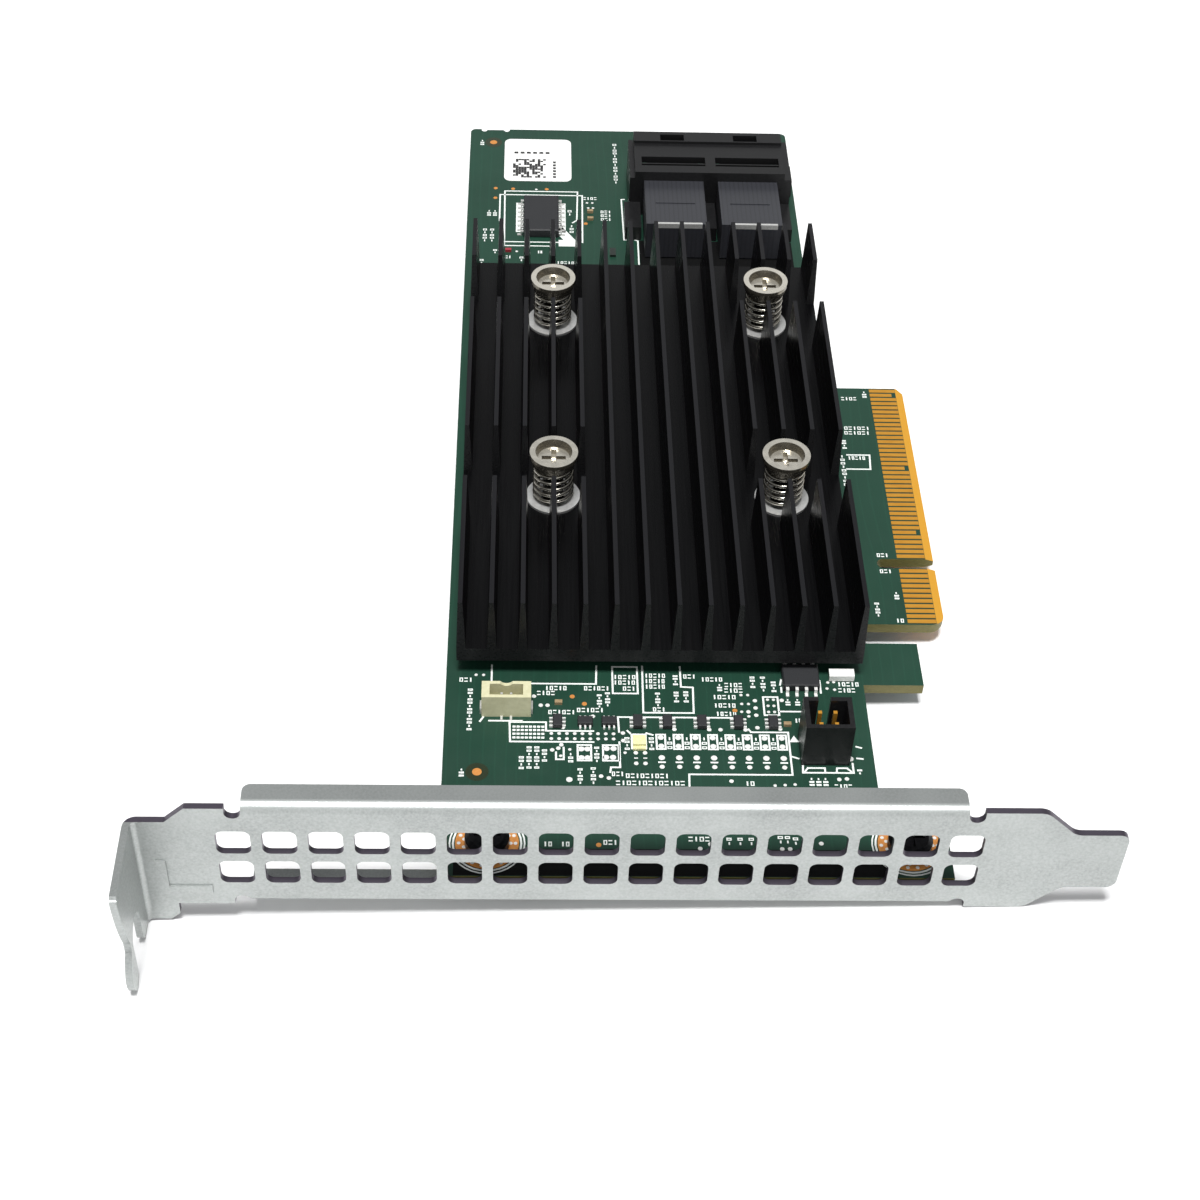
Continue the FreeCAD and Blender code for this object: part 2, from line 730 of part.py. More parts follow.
def connector_housing():
    """Black shell: two ports, latch windows, mouth notches, rear rails and locating pegs."""
    x0, x1 = port_x, port_x + connector_width
    upper = (x0 + shoulder_inset[0], x1 - shoulder_inset[1])
    rim_top = top + shell_height + mouth_rim_height
    lug_width, lug_length, lug_height = side_lug_size
    lug_far = mouth_y - side_lug_setback
    solids = [block(x0, x1, shell_rear, mouth_y, top, top + shoulder_height),
              block(*upper, shell_rear, mouth_y, top + shoulder_height, top + shell_height),
              block(*upper, mouth_y - mouth_rim_depth, mouth_y, top + shell_height, rim_top),
              block(x1, x1 + lug_width, lug_far - lug_length, lug_far, top, top + lug_height)]
    left_rail, middle_rail, right_rail = rail_widths
    for x, width in ((x0 - left_rail + right_rail, left_rail),
                     ((x0 + x1 - middle_rail) / 2, middle_rail), (x1 - right_rail, right_rail)):
        solids.append(block(x, x + width, shell_rear - rail_length, shell_rear,
                            top, top + rail_height))
    solids += [round_bar(x, y, bottom, top, peg_diameter / 2) for x, y in peg_places()]
    cutters = []
    floor, ceiling = top + port_floor, top + port_floor + port_height
    for x in port_middles():
        half = port_width / 2
        cutters.append(block(x - half, x + half, mouth_y - port_depth, mouth_y, floor, ceiling))
        half = latch_window_width / 2
        window_far = mouth_y - latch_window_y
        bar = window_far - latch_bar_place
        bar_top = top + shell_height - latch_bar_drop
        cutters.append(block(x - half, x + half, bar + latch_bar, window_far,
                             ceiling, top + shell_height))
        cutters.append(block(x - half, x + half, window_far - latch_window_depth, bar,
                             ceiling, top + shell_height))
        cutters.append(block(x - half, x + half, bar, bar + latch_bar, bar_top,
                             top + shell_height))
        notch = mouth_notch_width / 2
        notch_far = mouth_y - mouth_notch_y
        cutters.append(block(x - notch, x + notch, notch_far - mouth_notch_depth, notch_far,
                             ceiling, rim_top))
    return fuse(solids).cut(cutters)


def contact_carrier(x):
    """The insulator inside a port, with its two slots for the plug's paddle cards."""
    half = port_width / 2 - carrier_wall_gap
    back = mouth_y - port_depth
    floor = top + port_floor + carrier_wall_gap
    ceiling = top + port_floor + port_height - carrier_wall_gap
    body = block(x - half, x + half, back, back + carrier_depth, floor, ceiling)
    middle = (floor + ceiling) / 2
    slots = []
    for side in (-0.5, 0.5):
        z = middle + side * card_slot_spacing
        slots.append(block(x - half + card_slot_wall, x + half - card_slot_wall,
                           back + card_slot_floor, back + carrier_depth,
                           z - card_slot_height / 2, z + card_slot_height / 2))
    return body.cut(slots)


def port_contacts():
    """Gold spring contacts that line each card slot."""
    back = mouth_y - port_depth
    middle = top + port_floor + port_height / 2
    shapes = []
    for x in port_middles():
        for side in (-0.5, 0.5):
            z = middle + side * card_slot_spacing - card_slot_height / 2
            for k in range(tail_count):
                near = x + (k - (tail_count - 1) / 2) * card_contact_pitch - card_contact_width / 2
                shapes.append(block(near, near + card_contact_width, back + card_slot_floor,
                                    back + carrier_depth - card_contact_setback,
                                    z, z + card_contact_thickness))
    return Part.makeCompound(shapes)


def terminal_block(x):
    """Grey terminal wafers behind one port, with a small ridge across the top."""
    half = block_width / 2
    z0, z1 = top + block_lift, top + block_height
    body = block(x - half, x + half, blocks_rear, shell_rear, z0, z1)
    middle = (blocks_rear + shell_rear) / 2
    ridge = block(x - ridge_width / 2, x + ridge_width / 2, middle - ridge_depth, middle,
                  z1, z1 + ridge_height)
    return fuse([body, ridge]).cut(comb(x))


def comb(x):
    """The bright comb let into a block's rear upper edge."""
    middle = x + comb_offset
    z1 = top + block_height
    return block(middle - comb_width / 2, middle + comb_width / 2, blocks_rear,
                 blocks_rear + comb_depth, z1 - comb_drop, z1)


def tail_combs():
    return Part.makeCompound([comb(x) for x in port_middles()])


def connector_tails():
    """Solder tails from the blocks through the board."""
    tails = []
    for x in port_middles():
        for row in range(tail_rows):
            y = blocks_rear + (row + 0.5) * block_length / tail_rows
            for k in range(tail_count):
                cx = x + (k - (tail_count - 1) / 2) * block_width / (tail_count + 1)
                half = tail_size / 2
                tails.append(block(cx - half, cx + half, y - half, y + half,
                                   bottom - tail_reach, bottom))
    return Part.makeCompound(tails)


# ---- headers -----------------------------------------------------------------------------
def wire_header():
    """Cream open-top shell with a small scallop in its far wall."""
    length, depth, height = wire_header_size
    x0, y0 = long_edge + wire_header_x, plate_face + wire_header_y
    shell = block(x0, x0 + length, y0, y0 + depth, top, top + height)
    wall_x, wall_y = wire_header_wall
    pocket = block(x0 + wall_x, x0 + length - wall_x, y0 + wall_y, y0 + depth - wall_y,
                   top + wire_header_floor, top + height)
    scallop_centre = at(x0 + length / 2, y0 + depth - wall_y, top + height + scallop_rise)
    scallop = Part.makeCylinder(scallop_radius, wall_y, scallop_centre, at(0, 1, 0))
    return shell.cut([pocket, scallop])


def wire_header_metal():
    """Two contact pins in the cream header and its two solder ears."""
    length, depth, height = wire_header_size
    x0, y0 = long_edge + wire_header_x, plate_face + wire_header_y
    near, far = y0 + (depth - wire_pin) / 2, y0 + (depth + wire_pin) / 2
    pins, feet = [], []
    for side in (-0.5, 0.5):
        left = x0 + length / 2 + side * wire_pin_pitch - wire_pin / 2
        pins.append(block(left, left + wire_pin, near, far, top + wire_header_floor,
                          top + height - wire_pin_drop))
        feet.append(block(left, left + wire_pin, y0 - wire_foot, y0,
                          top, top + wire_foot_thickness))
    ear_width, ear_depth, ear_height = header_ear
    ear_y = y0 + header_ear_inset
    ears = [block(x, x + ear_width, ear_y, ear_y + ear_depth, top, top + ear_height)
            for x in (x0 - ear_width, x0 + length)]
    return Part.makeCompound(pins + ears + feet)


def jumper_header():
    """Black shrouded header, its far wall notched for the plug's key."""
    length, depth, height = jumper_size
    x0, y0 = long_edge + jumper_x, plate_face + jumper_y
    shell = block(x0, x0 + length, y0, y0 + depth, top, top + height)
    pocket = block(x0 + jumper_wall, x0 + length - jumper_wall, y0 + jumper_wall,
                   y0 + depth - jumper_wall, top + jumper_floor, top + height)
    middle = x0 + length / 2 - jumper_notch_shift
    key = block(middle - jumper_notch / 2, middle + jumper_notch / 2, y0 + depth - jumper_wall,
                y0 + depth, top + jumper_floor, top + height)
    return shell.cut([pocket, key])


def jumper_pins():
    """Four square gold pins."""
    length, depth, _ = jumper_size
    x0, y0 = long_edge + jumper_x, plate_face + jumper_y
    middle_x, middle_y = x0 + length / 2, y0 + depth / 2
    half = jumper_pin / 2
    pins = []
    for sx in (-0.5, 0.5):
        for sy in (-0.5, 0.5):
            x, y = middle_x + sx * jumper_pitch, middle_y + sy * jumper_pitch
            pins.append(block(x - half, x + half, y - half, y + half,
                              top + jumper_floor, top + jumper_pin_top))
    return Part.makeCompound(pins)


# ---- chips and small parts ---------------------------------------------------------------
def chip_body(x, y, size):
    """A moulded package with drafted upper sides, centred at x, y."""
    length, depth, height = size
    z0 = top + chip_standoff
    body = block(x - length / 2, x + length / 2, y - depth / 2, y + depth / 2, z0, top + height)
    upper = [edge for edge in body.Edges
             if all(abs(v.Z - top - height) < 0.01 for v in edge.Vertexes)]
    return body.makeChamfer(min(length, depth, height) * chip_bevel, upper)


def gull_lead(x, y, direction, body_side, along_x):
    """One gull-wing lead: a foot on the board, a riser, and a shoulder in to the body's side."""
    t = lead_thickness
    knee = lead_reach / 2
    shoulder = top + chip_standoff + knee
    profile = [(lead_reach, top), (lead_reach, top + t), (knee, top + t), (knee, shoulder + t),
               (0, shoulder + t), (0, shoulder), (knee - t, shoulder), (knee - t, top)]
    half = lead_width / 2
    if along_x:
        points = [at(x + direction * (body_side + u), y - half, z) for u, z in profile]
        return prism(points, at(0, lead_width, 0))
    points = [at(x - half, y + direction * (body_side + u), z) for u, z in profile]
    return prism(points, at(lead_width, 0, 0))


def chip_leads(x, y, size, count, pitch, along_x):
    """Two opposite rows of leads."""
    side = (size[0] if along_x else size[1]) / 2
    leads = []
    for direction in (-1, 1):
        for k in range(count):
            step = (k - (count - 1) / 2) * pitch
            lx, ly = (x, y + step) if along_x else (x + step, y)
            leads.append(gull_lead(lx, ly, direction, side, along_x))
    return leads


def flash_place():
    return (long_edge + flash_x + flash_size[0] / 2,
            far_edge - flash_from_far_edge + flash_size[1] / 2)


def small_chip_place():
    return (long_edge + small_chip_x + small_chip_size[0] / 2,
            plate_face + small_chip_y + small_chip_size[1] / 2)


def transistor_places():
    """Middle of each small transistor in its row, and whether it lies across the row."""
    return [(long_edge + x, plate_face + transistor_row, number in turned_transistors)
            for number, x in enumerate(transistor_x)]


def transistor_bodies():
    length, depth, height = transistor_size
    return Part.makeCompound([
        chip_body(x, y, (depth, length, height) if turned else transistor_size)
        for x, y, turned in transistor_places()])


def transistor_leads():
    """Three short flat leads on each side of every transistor."""
    half_body = transistor_size[0] / 2
    reach, width, height = transistor_lead
    shapes = []
    for x, y, turned in transistor_places():
        for side in (-half_body - reach, half_body):
            for k in (-1, 0, 1):
                step = k * transistor_lead_pitch - width / 2
                if turned:
                    lead = block(x + step, x + step + width, y + side, y + side + reach,
                                 top, top + height)
                else:
                    lead = block(x + side, x + side + reach, y + step, y + step + width,
                                 top, top + height)
                shapes.append(lead)
    return Part.makeCompound(shapes)


def indicator_lamp():
    length, depth, height = lamp_size
    x0 = long_edge + lamp_x - length / 2
    y0 = plate_face + lamp_y - depth / 2
    middle = top + height / 2
    base = block(x0, x0 + length, y0, y0 + depth, top, middle)
    lens = block(x0, x0 + length, y0 + lamp_lens_inset, y0 + depth - lamp_lens_inset,
                 middle, top + height)
    return fuse([base, lens])


def ceramic_fuse():
    length, depth, height = fuse_size
    x, y = long_edge + fuse_x, plate_face + fuse_y
    body = block(x, x + length, y, y + depth, top, top + height)
    return body.makeFillet(fuse_round, edges_along(body, 0, length))


def capacitor_places():
    """Middles of the chip capacitors on the component side."""
    places = [(long_edge + x, plate_face + y) for x, y in near_capacitors]
    return places + [(long_edge + x, far_edge - y) for x, y in far_capacitors]


def capacitor(x, y, z0, z1):
    length, depth, _ = capacitor_size
    return block(x - length / 2, x + length / 2, y - depth / 2, y + depth / 2, z0, z1)


def capacitors():
    return Part.makeCompound([capacitor(x, y, top, top + capacitor_size[2])
                              for x, y in capacitor_places()])


def back_capacitors():
    """Decoupling capacitors in a field under the controller."""
    x0, y0 = chip_centre()
    shapes = []
    for row in range(back_row_count):
        for column in range(back_column_count):
            x = x0 + (column - (back_column_count - 1) / 2) * back_capacitor_pitch
            y = y0 + (row - (back_row_count - 1) / 2) * back_capacitor_pitch
            shapes.append(capacitor(x, y, bottom - capacitor_size[2], bottom))
    return Part.makeCompound(shapes)


def resistor_array():
    length, depth, height = array_size
    x, y = long_edge + array_x, far_edge - array_from_far_edge
    return block(x - length / 2, x + length / 2, y - depth / 2, y + depth / 2, top, top + height)


def label():
    width, height = label_size
    x0, y1 = long_edge + label_x, far_edge - label_from_far_edge
    paper = block(x0, x0 + width, y1 - height, y1, top, top + label_thickness)
    return paper.makeFillet(label_corner, edges_along(paper, 2, label_thickness))


def main():
    left_port, right_port = port_middles()
    flash_at, small_at = flash_place(), small_chip_place()
    pieces = {
        "circuit_board": circuit_board(),
        "edge_contacts_component_side": edge_contacts(top),
        "edge_contacts_solder_side": edge_contacts(bottom - contact_thickness),
        "ground_rings": ground_rings(),
        "bracket": bracket(),
        "bracket_screws": bracket_screws_shape(),
        "heatsink": heatsink(),
        "shoulder_screws": shoulder_screws_shape(),
        "springs": springs(),
        "washers": washers(),
        "back_nuts": nuts(),
        "controller_substrate": controller_substrate(),
        "controller_lid": controller_lid(),
        "thermal_pad": thermal_pad(),
        "connector_housing": connector_housing(),
        "contact_carrier_left": contact_carrier(left_port),
        "contact_carrier_right": contact_carrier(right_port),
        "port_contacts": port_contacts(),
        "terminal_block_left": terminal_block(left_port),
        "terminal_block_right": terminal_block(right_port),
        "tail_combs": tail_combs(),
        "connector_tails": connector_tails(),
        "wire_header": wire_header(),
        "wire_header_metal": wire_header_metal(),
        "jumper_header": jumper_header(),
        "jumper_pins": jumper_pins(),
        "flash_chip": chip_body(*flash_at, flash_size),
        "flash_chip_leads": Part.makeCompound(
            chip_leads(*flash_at, flash_size, flash_lead_count, flash_lead_pitch, True)),
        "small_chip": chip_body(*small_at, small_chip_size),
        "small_chip_leads": Part.makeCompound(chip_leads(
            *small_at, small_chip_size, small_chip_lead_count, small_chip_pitch, False)),
        "transistors": transistor_bodies(),
        "transistor_leads": transistor_leads(),
        "indicator_lamp": indicator_lamp(),
        "ceramic_fuse": ceramic_fuse(),
        "capacitors": capacitors(),
        "back_capacitors": back_capacitors(),
        "resistor_array": resistor_array(),
        "label": label(),
    }
    os.makedirs("parts", exist_ok=True)
    for name, shape in pieces.items():
        if not shape.isValid() or not shape.Solids:
            raise ValueError(name + " is not a valid solid")
        shape.exportStep("parts/" + name + ".step")
        print(name, len(shape.Solids), round(shape.Volume, 2))


main()
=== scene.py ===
from math import cos, pi, radians, sin

import bmesh
import bpy
from mathutils import Matrix, Vector


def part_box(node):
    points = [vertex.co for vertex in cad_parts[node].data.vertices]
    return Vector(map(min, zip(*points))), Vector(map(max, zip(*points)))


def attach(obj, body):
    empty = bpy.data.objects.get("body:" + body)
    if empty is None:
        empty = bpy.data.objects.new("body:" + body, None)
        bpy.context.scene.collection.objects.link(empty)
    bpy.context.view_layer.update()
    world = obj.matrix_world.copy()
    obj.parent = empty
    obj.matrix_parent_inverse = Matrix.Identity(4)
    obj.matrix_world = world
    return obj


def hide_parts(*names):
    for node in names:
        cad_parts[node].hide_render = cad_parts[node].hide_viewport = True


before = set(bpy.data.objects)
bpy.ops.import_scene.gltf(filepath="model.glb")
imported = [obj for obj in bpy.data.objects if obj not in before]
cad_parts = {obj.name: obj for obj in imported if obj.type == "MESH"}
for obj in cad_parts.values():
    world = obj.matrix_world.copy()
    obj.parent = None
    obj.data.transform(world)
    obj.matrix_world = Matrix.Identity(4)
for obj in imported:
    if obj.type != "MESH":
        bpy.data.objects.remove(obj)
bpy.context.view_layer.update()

bl_info = {
    "name": "Storage controller card",
    "version": (1, 0, 0),
    "blender": (4, 5, 0),
    "location": "View3D > Sidebar > Card",
    "description": "Dresses a low-profile controller card with printing, pads and finishes",
    "category": "Object",
}

MM = 0.001
PLATE_DROP = 4.31             # board's component face to the bracket plate's lower edge, mm
TONGUE = 11.2                 # bracket's end to the full width of its plate, mm
PLATE_MIDDLE = -56.72         # middle of the bracket plate's thickness along Y, mm
FIN_TIPS = 4.0                # depth below the heatsink's top in which a flat face is a tip, mm
WAFER = 0.75                  # spacing of the ports' terminal wafers, mm
MARK_STROKE = 0.14            # stroke of the small printed marks, mm
MARK_HIGH = 0.74              # their height, mm
MARK_GAP = 0.16               # gap between marks in a row, mm
UPRIGHT_WIDE = 0.66           # width of a mark in a row that climbs the board, mm
UPRIGHT_FILL = 0.62           # part of its pitch that such a mark fills
HAIR = 0.003                  # lift that keeps two printed tops out of one plane, mm
RING_DROP = 0.01              # depth of a fiducial's cleared ring under the print, mm
PAINTED_SHADE_DROP = 0.012             # depth of the black painted-shade patches under the print, mm
COIL_STEPS = 28               # steps in one turn of a spring
STITCHES = ((3.55, 18), (2.95, 15))     # reach in mm and count of each ring of stitching dots
FLAT = 0.98                   # share of its normal along Z that makes a face count as flat
GROUND = 0.5                  # the same for the bevel ground along the contacts
END = 0.6                     # the same along X, for the tinned ends of a chip part
SHEARED = 0.25                # share along Y below which a plate face is a cut edge


def linear(code):
    """An sRGB hex colour as linear red, green, blue and alpha."""
    channels = [int(code[i:i + 2], 16) / 255 for i in (1, 3, 5)]
    return tuple(c / 12.92 if c <= 0.04045 else ((c + 0.055) / 1.055) ** 2.4
                 for c in channels) + (1.0,)


# ---- materials ------------------------------------------------------------------------
FACTOR, FIRST, SECOND, RESULT = 0, 6, 7, 2      # sockets of a mix of two colours
GRAIN_RANGE = {"From Min": 0.3, "From Max": 0.7}        # where most of a noise lies


def add_node(tree, kind, values=None, links=None):
    """Adds a node, sets its fields and sockets (a hex code becomes a linear colour), and
    joins other nodes' outputs to it."""
    node = tree.nodes.new(kind)
    for name, value in (values or {}).items():
        if isinstance(value, str) and value.startswith("#"):
            value = linear(value)
        if isinstance(name, str) and hasattr(node, name):
            setattr(node, name, value)
        else:
            node.inputs[name].default_value = value
    for name, source in (links or {}).items():
        tree.links.new(source, node.inputs[name])
    return node


def start_material(name, colour, roughness, metallic=0.0, **sockets):
    """A named material with its shader; further shader sockets come as keywords."""
    material = bpy.data.materials.new(name)
    material.use_nodes = True
    tree = material.node_tree
    shader = tree.nodes["Principled BSDF"]
    shader.inputs["Base Color"].default_value = linear(colour)
    shader.inputs["Roughness"].default_value = roughness
    shader.inputs["Metallic"].default_value = metallic
    for socket, value in sockets.items():
        shader.inputs[socket.replace("_", " ")].default_value = value
    material.diffuse_color = linear(colour)
    return material, tree, shader


def object_place(tree, stretch=(1, 1, 1)):
    """Object coordinates, stretched so that a grain can run along one axis."""
    coordinates = add_node(tree, "ShaderNodeTexCoord")
    return add_node(tree, "ShaderNodeMapping", {"Scale": stretch},
                    {"Vector": coordinates.outputs["Object"]}).outputs["Vector"]


def grain(tree, size_mm, detail=3.0, stretch=(1, 1, 1)):
    """A random pattern over the object whose patches are about size_mm across."""
    return add_node(tree, "ShaderNodeTexNoise", {"Scale": 1 / (size_mm * MM), "Detail": detail},
                    {"Vector": object_place(tree, stretch)}).outputs["Fac"]


def mottle(tree, size_mm, low=0.0, high=1.0, detail=3.0, stretch=(1, 1, 1)):
    """Such a grain, spread between two numbers."""
    return add_node(tree, "ShaderNodeMapRange", {**GRAIN_RANGE, "To Min": low, "To Max": high},
                    {"Value": grain(tree, size_mm, detail, stretch)}).outputs["Result"]


def dress(tree, shader, pattern, colour, shade, smooth, rough, depth_mm):
    """Lets a surface's tone, gloss and relief follow one pattern. Gives back the tone, for
    a finish that goes on from it."""
    amount = add_node(tree, "ShaderNodeMapRange", {**GRAIN_RANGE}, {"Value": pattern})
    tone = add_node(tree, "ShaderNodeMix", {"data_type": "RGBA", FIRST: colour, SECOND: shade},
                    {FACTOR: amount.outputs["Result"]}).outputs[RESULT]
    gloss = add_node(tree, "ShaderNodeMapRange",
                     {**GRAIN_RANGE, "To Min": smooth, "To Max": rough}, {"Value": pattern})
    tree.links.new(tone, shader.inputs["Base Color"])
    tree.links.new(gloss.outputs["Result"], shader.inputs["Roughness"])
    bump = add_node(tree, "ShaderNodeBump", {"Distance": depth_mm * MM}, {"Height": pattern})
    tree.links.new(bump.outputs["Normal"], shader.inputs["Normal"])
    return tone


def burnish(tree, shader, size_mm, detail, colour, shade, smooth, rough):
    """Metal rubbed bright in patches, whose gloss turns more sharply than its tone. The
    patches are drawn coarser than real ones, to show. Gives back the tone."""
    wear = mottle(tree, size_mm, detail=detail)
    tone = add_node(tree, "ShaderNodeMix", {"data_type": "RGBA", FIRST: colour, SECOND: shade},
                    {FACTOR: wear}).outputs[RESULT]
    gloss = add_node(tree, "ShaderNodeMapRange",
                     {**GRAIN_RANGE, "To Min": smooth, "To Max": rough}, {"Value": wear})
    tree.links.new(tone, shader.inputs["Base Color"])
    tree.links.new(gloss.outputs["Result"], shader.inputs["Roughness"])
    return tone


def facing(tree, axis, level):
    """1 on faces that look along an axis, either way, and 0 on those that lean past level."""
    normal = add_node(tree, "ShaderNodeNewGeometry").outputs["True Normal"]
    parts = add_node(tree, "ShaderNodeSeparateXYZ", links={"Vector": normal})
    size = add_node(tree, "ShaderNodeMath", {"operation": "ABSOLUTE"}, {0: parts.outputs[axis]})
    return add_node(tree, "ShaderNodeMath", {"operation": "GREATER_THAN", 1: level},
                    {0: size.outputs["Value"]}).outputs["Value"]


def on_side(tree, axis, test, place):
    """1 on the side of a place along an axis of the object, in metres, that passes the
    test, and 0 on the other."""
    parts = add_node(tree, "ShaderNodeSeparateXYZ", links={"Vector": object_place(tree)})
    return add_node(tree, "ShaderNodeMath", {"operation": test, 1: place},
                    {0: parts.outputs[axis]}).outputs["Value"]


def masked_laminate(settings):
    """Glass-epoxy board under a sprayed green solder mask.
    The eye sees a deep green satin with paler copper under it, raw olive cut edges, and
    the golden glass of the bevel ground along the contacts."""
    material, tree, shader = start_material("Glass-epoxy laminate, green solder mask",
                                            "#1c5240", 0.4, IOR=1.5, Specular_IOR_Level=0.35)
    # a wave's bands lie 2 pi / 20 of its scale's size apart: about 1.6 mm here
    tracks = add_node(tree, "ShaderNodeTexWave",
                      {"wave_type": "BANDS", "bands_direction": "X", "Scale": 1 / (5 * MM),
                       "Distortion": 7.0, "Detail": 1.0, "Detail Scale": 0.5},
                      {"Vector": object_place(tree, (1, 0.3, 1))}).outputs["Fac"]
    line = add_node(tree, "ShaderNodeMapRange",
                    {"From Min": 0.93, "From Max": 0.97, "To Min": 0.0, "To Max": 0.1},
                    {"Value": tracks}).outputs["Result"]
    pour = add_node(tree, "ShaderNodeMix",
                    {"data_type": "RGBA", FIRST: tuple(settings.mask_green), SECOND: "#18382b"},
                    {FACTOR: mottle(tree, 18, detail=1.0)}).outputs[RESULT]
    green = add_node(tree, "ShaderNodeMix", {"data_type": "RGBA", SECOND: "#265643"},
                     {FACTOR: line, FIRST: pour}).outputs[RESULT]
    edge = add_node(tree, "ShaderNodeMix",
                    {"data_type": "RGBA", FIRST: "#7a7340", SECOND: "#625f34"},
                    {FACTOR: mottle(tree, 0.5, stretch=(1, 1, 6))}).outputs[RESULT]
    bevel = add_node(tree, "ShaderNodeMath", {"operation": "MULTIPLY"},
                     {0: on_side(tree, "X", "GREATER_THAN", -2 * MM),
                      1: facing(tree, "Z", GROUND)})
    ground = add_node(tree, "ShaderNodeMix", {"data_type": "RGBA", SECOND: "#c58f2c"},
                      {FACTOR: bevel.outputs["Value"], FIRST: edge}).outputs[RESULT]
    board = add_node(tree, "ShaderNodeMix", {"data_type": "RGBA"},
                     {FACTOR: facing(tree, "Z", FLAT), FIRST: ground, SECOND: green})
    tree.links.new(board.outputs[RESULT], shader.inputs["Base Color"])
    tree.links.new(mottle(tree, 3, 0.36, 0.46), shader.inputs["Roughness"])
    bump = add_node(tree, "ShaderNodeBump", {"Distance": 0.03 * MM}, {"Height": line})
    tree.links.new(bump.outputs["Normal"], shader.inputs["Normal"])
    return material


def plated(name, colour, shade, roughness, grain_mm=0.6, stretch=(1, 1, 1), metallic=1.0):
    """A plated metal whose tone and gloss wander a little over its grain. Real plating
    grain is too fine to show, so it is drawn as coarse as it needs to be seen."""
    material, tree, shader = start_material(name, colour, roughness, metallic)
    dress(tree, shader, grain(tree, grain_mm, 4.0, stretch), colour, shade,
          roughness * 0.8, roughness * 1.25, 0.003)
    return material


def gold_plate():
    """Hard gold over nickel, electroplated: warm, even and fairly bright."""
    return plated("Hard gold, electroplated", "#d59a37", "#c08629", 0.45, 0.8, (0.3, 1, 1), 0.5)


def bare_copper():
    """Copper foil, flash-finished: orange and satin."""
    return plated("Copper foil, bare", "#e09a52", "#cc8440", 0.45, 0.5, metallic=0.35)


def sheared_edges(tree):
    """1 on the bracket plate's cut edges, which lie inside its thickness, and 0 elsewhere."""
    parts = add_node(tree, "ShaderNodeSeparateXYZ", links={"Vector": object_place(tree)})
    inside = add_node(tree, "ShaderNodeMath",
                      {"operation": "COMPARE", 1: PLATE_MIDDLE * MM, 2: 0.44 * MM},
                      {0: parts.outputs["Y"]}).outputs["Value"]
    return add_node(tree, "ShaderNodeMath", {"operation": "SUBTRACT", "use_clamp": True},
                    {0: inside, 1: facing(tree, "Y", SHEARED)}).outputs["Value"]


def zinc_sheet(settings):
    """Cold-rolled sheet, zinc plated: a pale grey, finely mottled satin with soft clouds, and
    cut edges tinted a darker purple-grey as painted shade. The mottle is drawn coarser than real
    zinc grain, so that it shows."""
    material, tree, shader = start_material("Cold-rolled steel, zinc plated", "#b1b4b3",
                                            0.42, 0.8)
    tone = dress(tree, shader, grain(tree, 0.3, 5.0), tuple(settings.zinc_tone), "#969a98",
                 0.36, 0.44, 0.008)
    cloud = add_node(tree, "ShaderNodeMix", {"data_type": "RGBA", SECOND: "#bdc1bf"},
                     {FACTOR: mottle(tree, 9, 0.0, 0.4, 2.0), FIRST: tone}).outputs[RESULT]
    # painted shade: every cut edge inside the plate's thickness is tinted a dark purple-grey,
    # for the dark surround it mirrors
    cut_edges_painted_shade = add_node(tree, "ShaderNodeMix", {"data_type": "RGBA", SECOND: "#5c5661"},
                     {FACTOR: sheared_edges(tree), FIRST: cloud}).outputs[RESULT]
    tree.links.new(cut_edges_painted_shade, shader.inputs["Base Color"])
    return material


def black_oxide():
    """Steel screw, black oxide: near-black with a dull oily gloss."""
    return plated("Steel, black oxide", "#2a2a2c", "#1a1a1c", 0.4, 0.5)


def black_anodised(settings):
    """Extruded aluminium, black anodised: dense satin black with faint die lines along it,
    its front end painted a little paler as painted light and its fin tips as a painted
    highlight.
    Die lines 0.4 mm wide are coarser than real ones, so that they show."""
    material, tree, shader = start_material("Aluminium extrusion, black anodised", "#1a1a1c",
                                            0.3, 0.0, IOR=1.5, Specular_IOR_Level=0.17)
    tone = dress(tree, shader, grain(tree, 0.4, 4.0, (1, 0.03, 1)),
                 tuple(settings.sink_black), "#09090a", 0.24, 0.34, 0.006)
    normal = add_node(tree, "ShaderNodeNewGeometry").outputs["True Normal"]
    parts = add_node(tree, "ShaderNodeSeparateXYZ", links={"Vector": normal})
    # painted light: the faces that look toward -Y, the heatsink's front end, are painted paler
    lit_front_mask = add_node(tree, "ShaderNodeMath", {"operation": "LESS_THAN", 1: -0.7},
                    {0: parts.outputs["Y"]}).outputs["Value"]
    front_painted_light = add_node(tree, "ShaderNodeMix", {"data_type": "RGBA", SECOND: "#1b1b1c"},
                    {FACTOR: lit_front_mask, FIRST: tone}).outputs[RESULT]
    # painted highlight: the flat faces in the heatsink's upper FIN_TIPS millimetres, its fin
    # tops, are painted paler
    tip_highlight_mask = add_node(tree, "ShaderNodeMath", {"operation": "MULTIPLY"},
                    {0: on_side(tree, "Z", "GREATER_THAN",
                                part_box("heatsink")[1][2] - FIN_TIPS * MM),
                     1: facing(tree, "Z", FLAT)}).outputs["Value"]
    tips_painted_highlight = add_node(tree, "ShaderNodeMix", {"data_type": "RGBA", SECOND: "#1a1a1c"},
                      {FACTOR: tip_highlight_mask, FIRST: front_painted_light}).outputs[RESULT]
    tree.links.new(tips_painted_highlight, shader.inputs["Base Color"])
    return material


def nickel_plate():
    """Steel, nickel plated: slightly warm mirror-like grey."""
    return plated("Steel, bright nickel plate", "#b4afa4", "#979187", 0.24, 0.8)


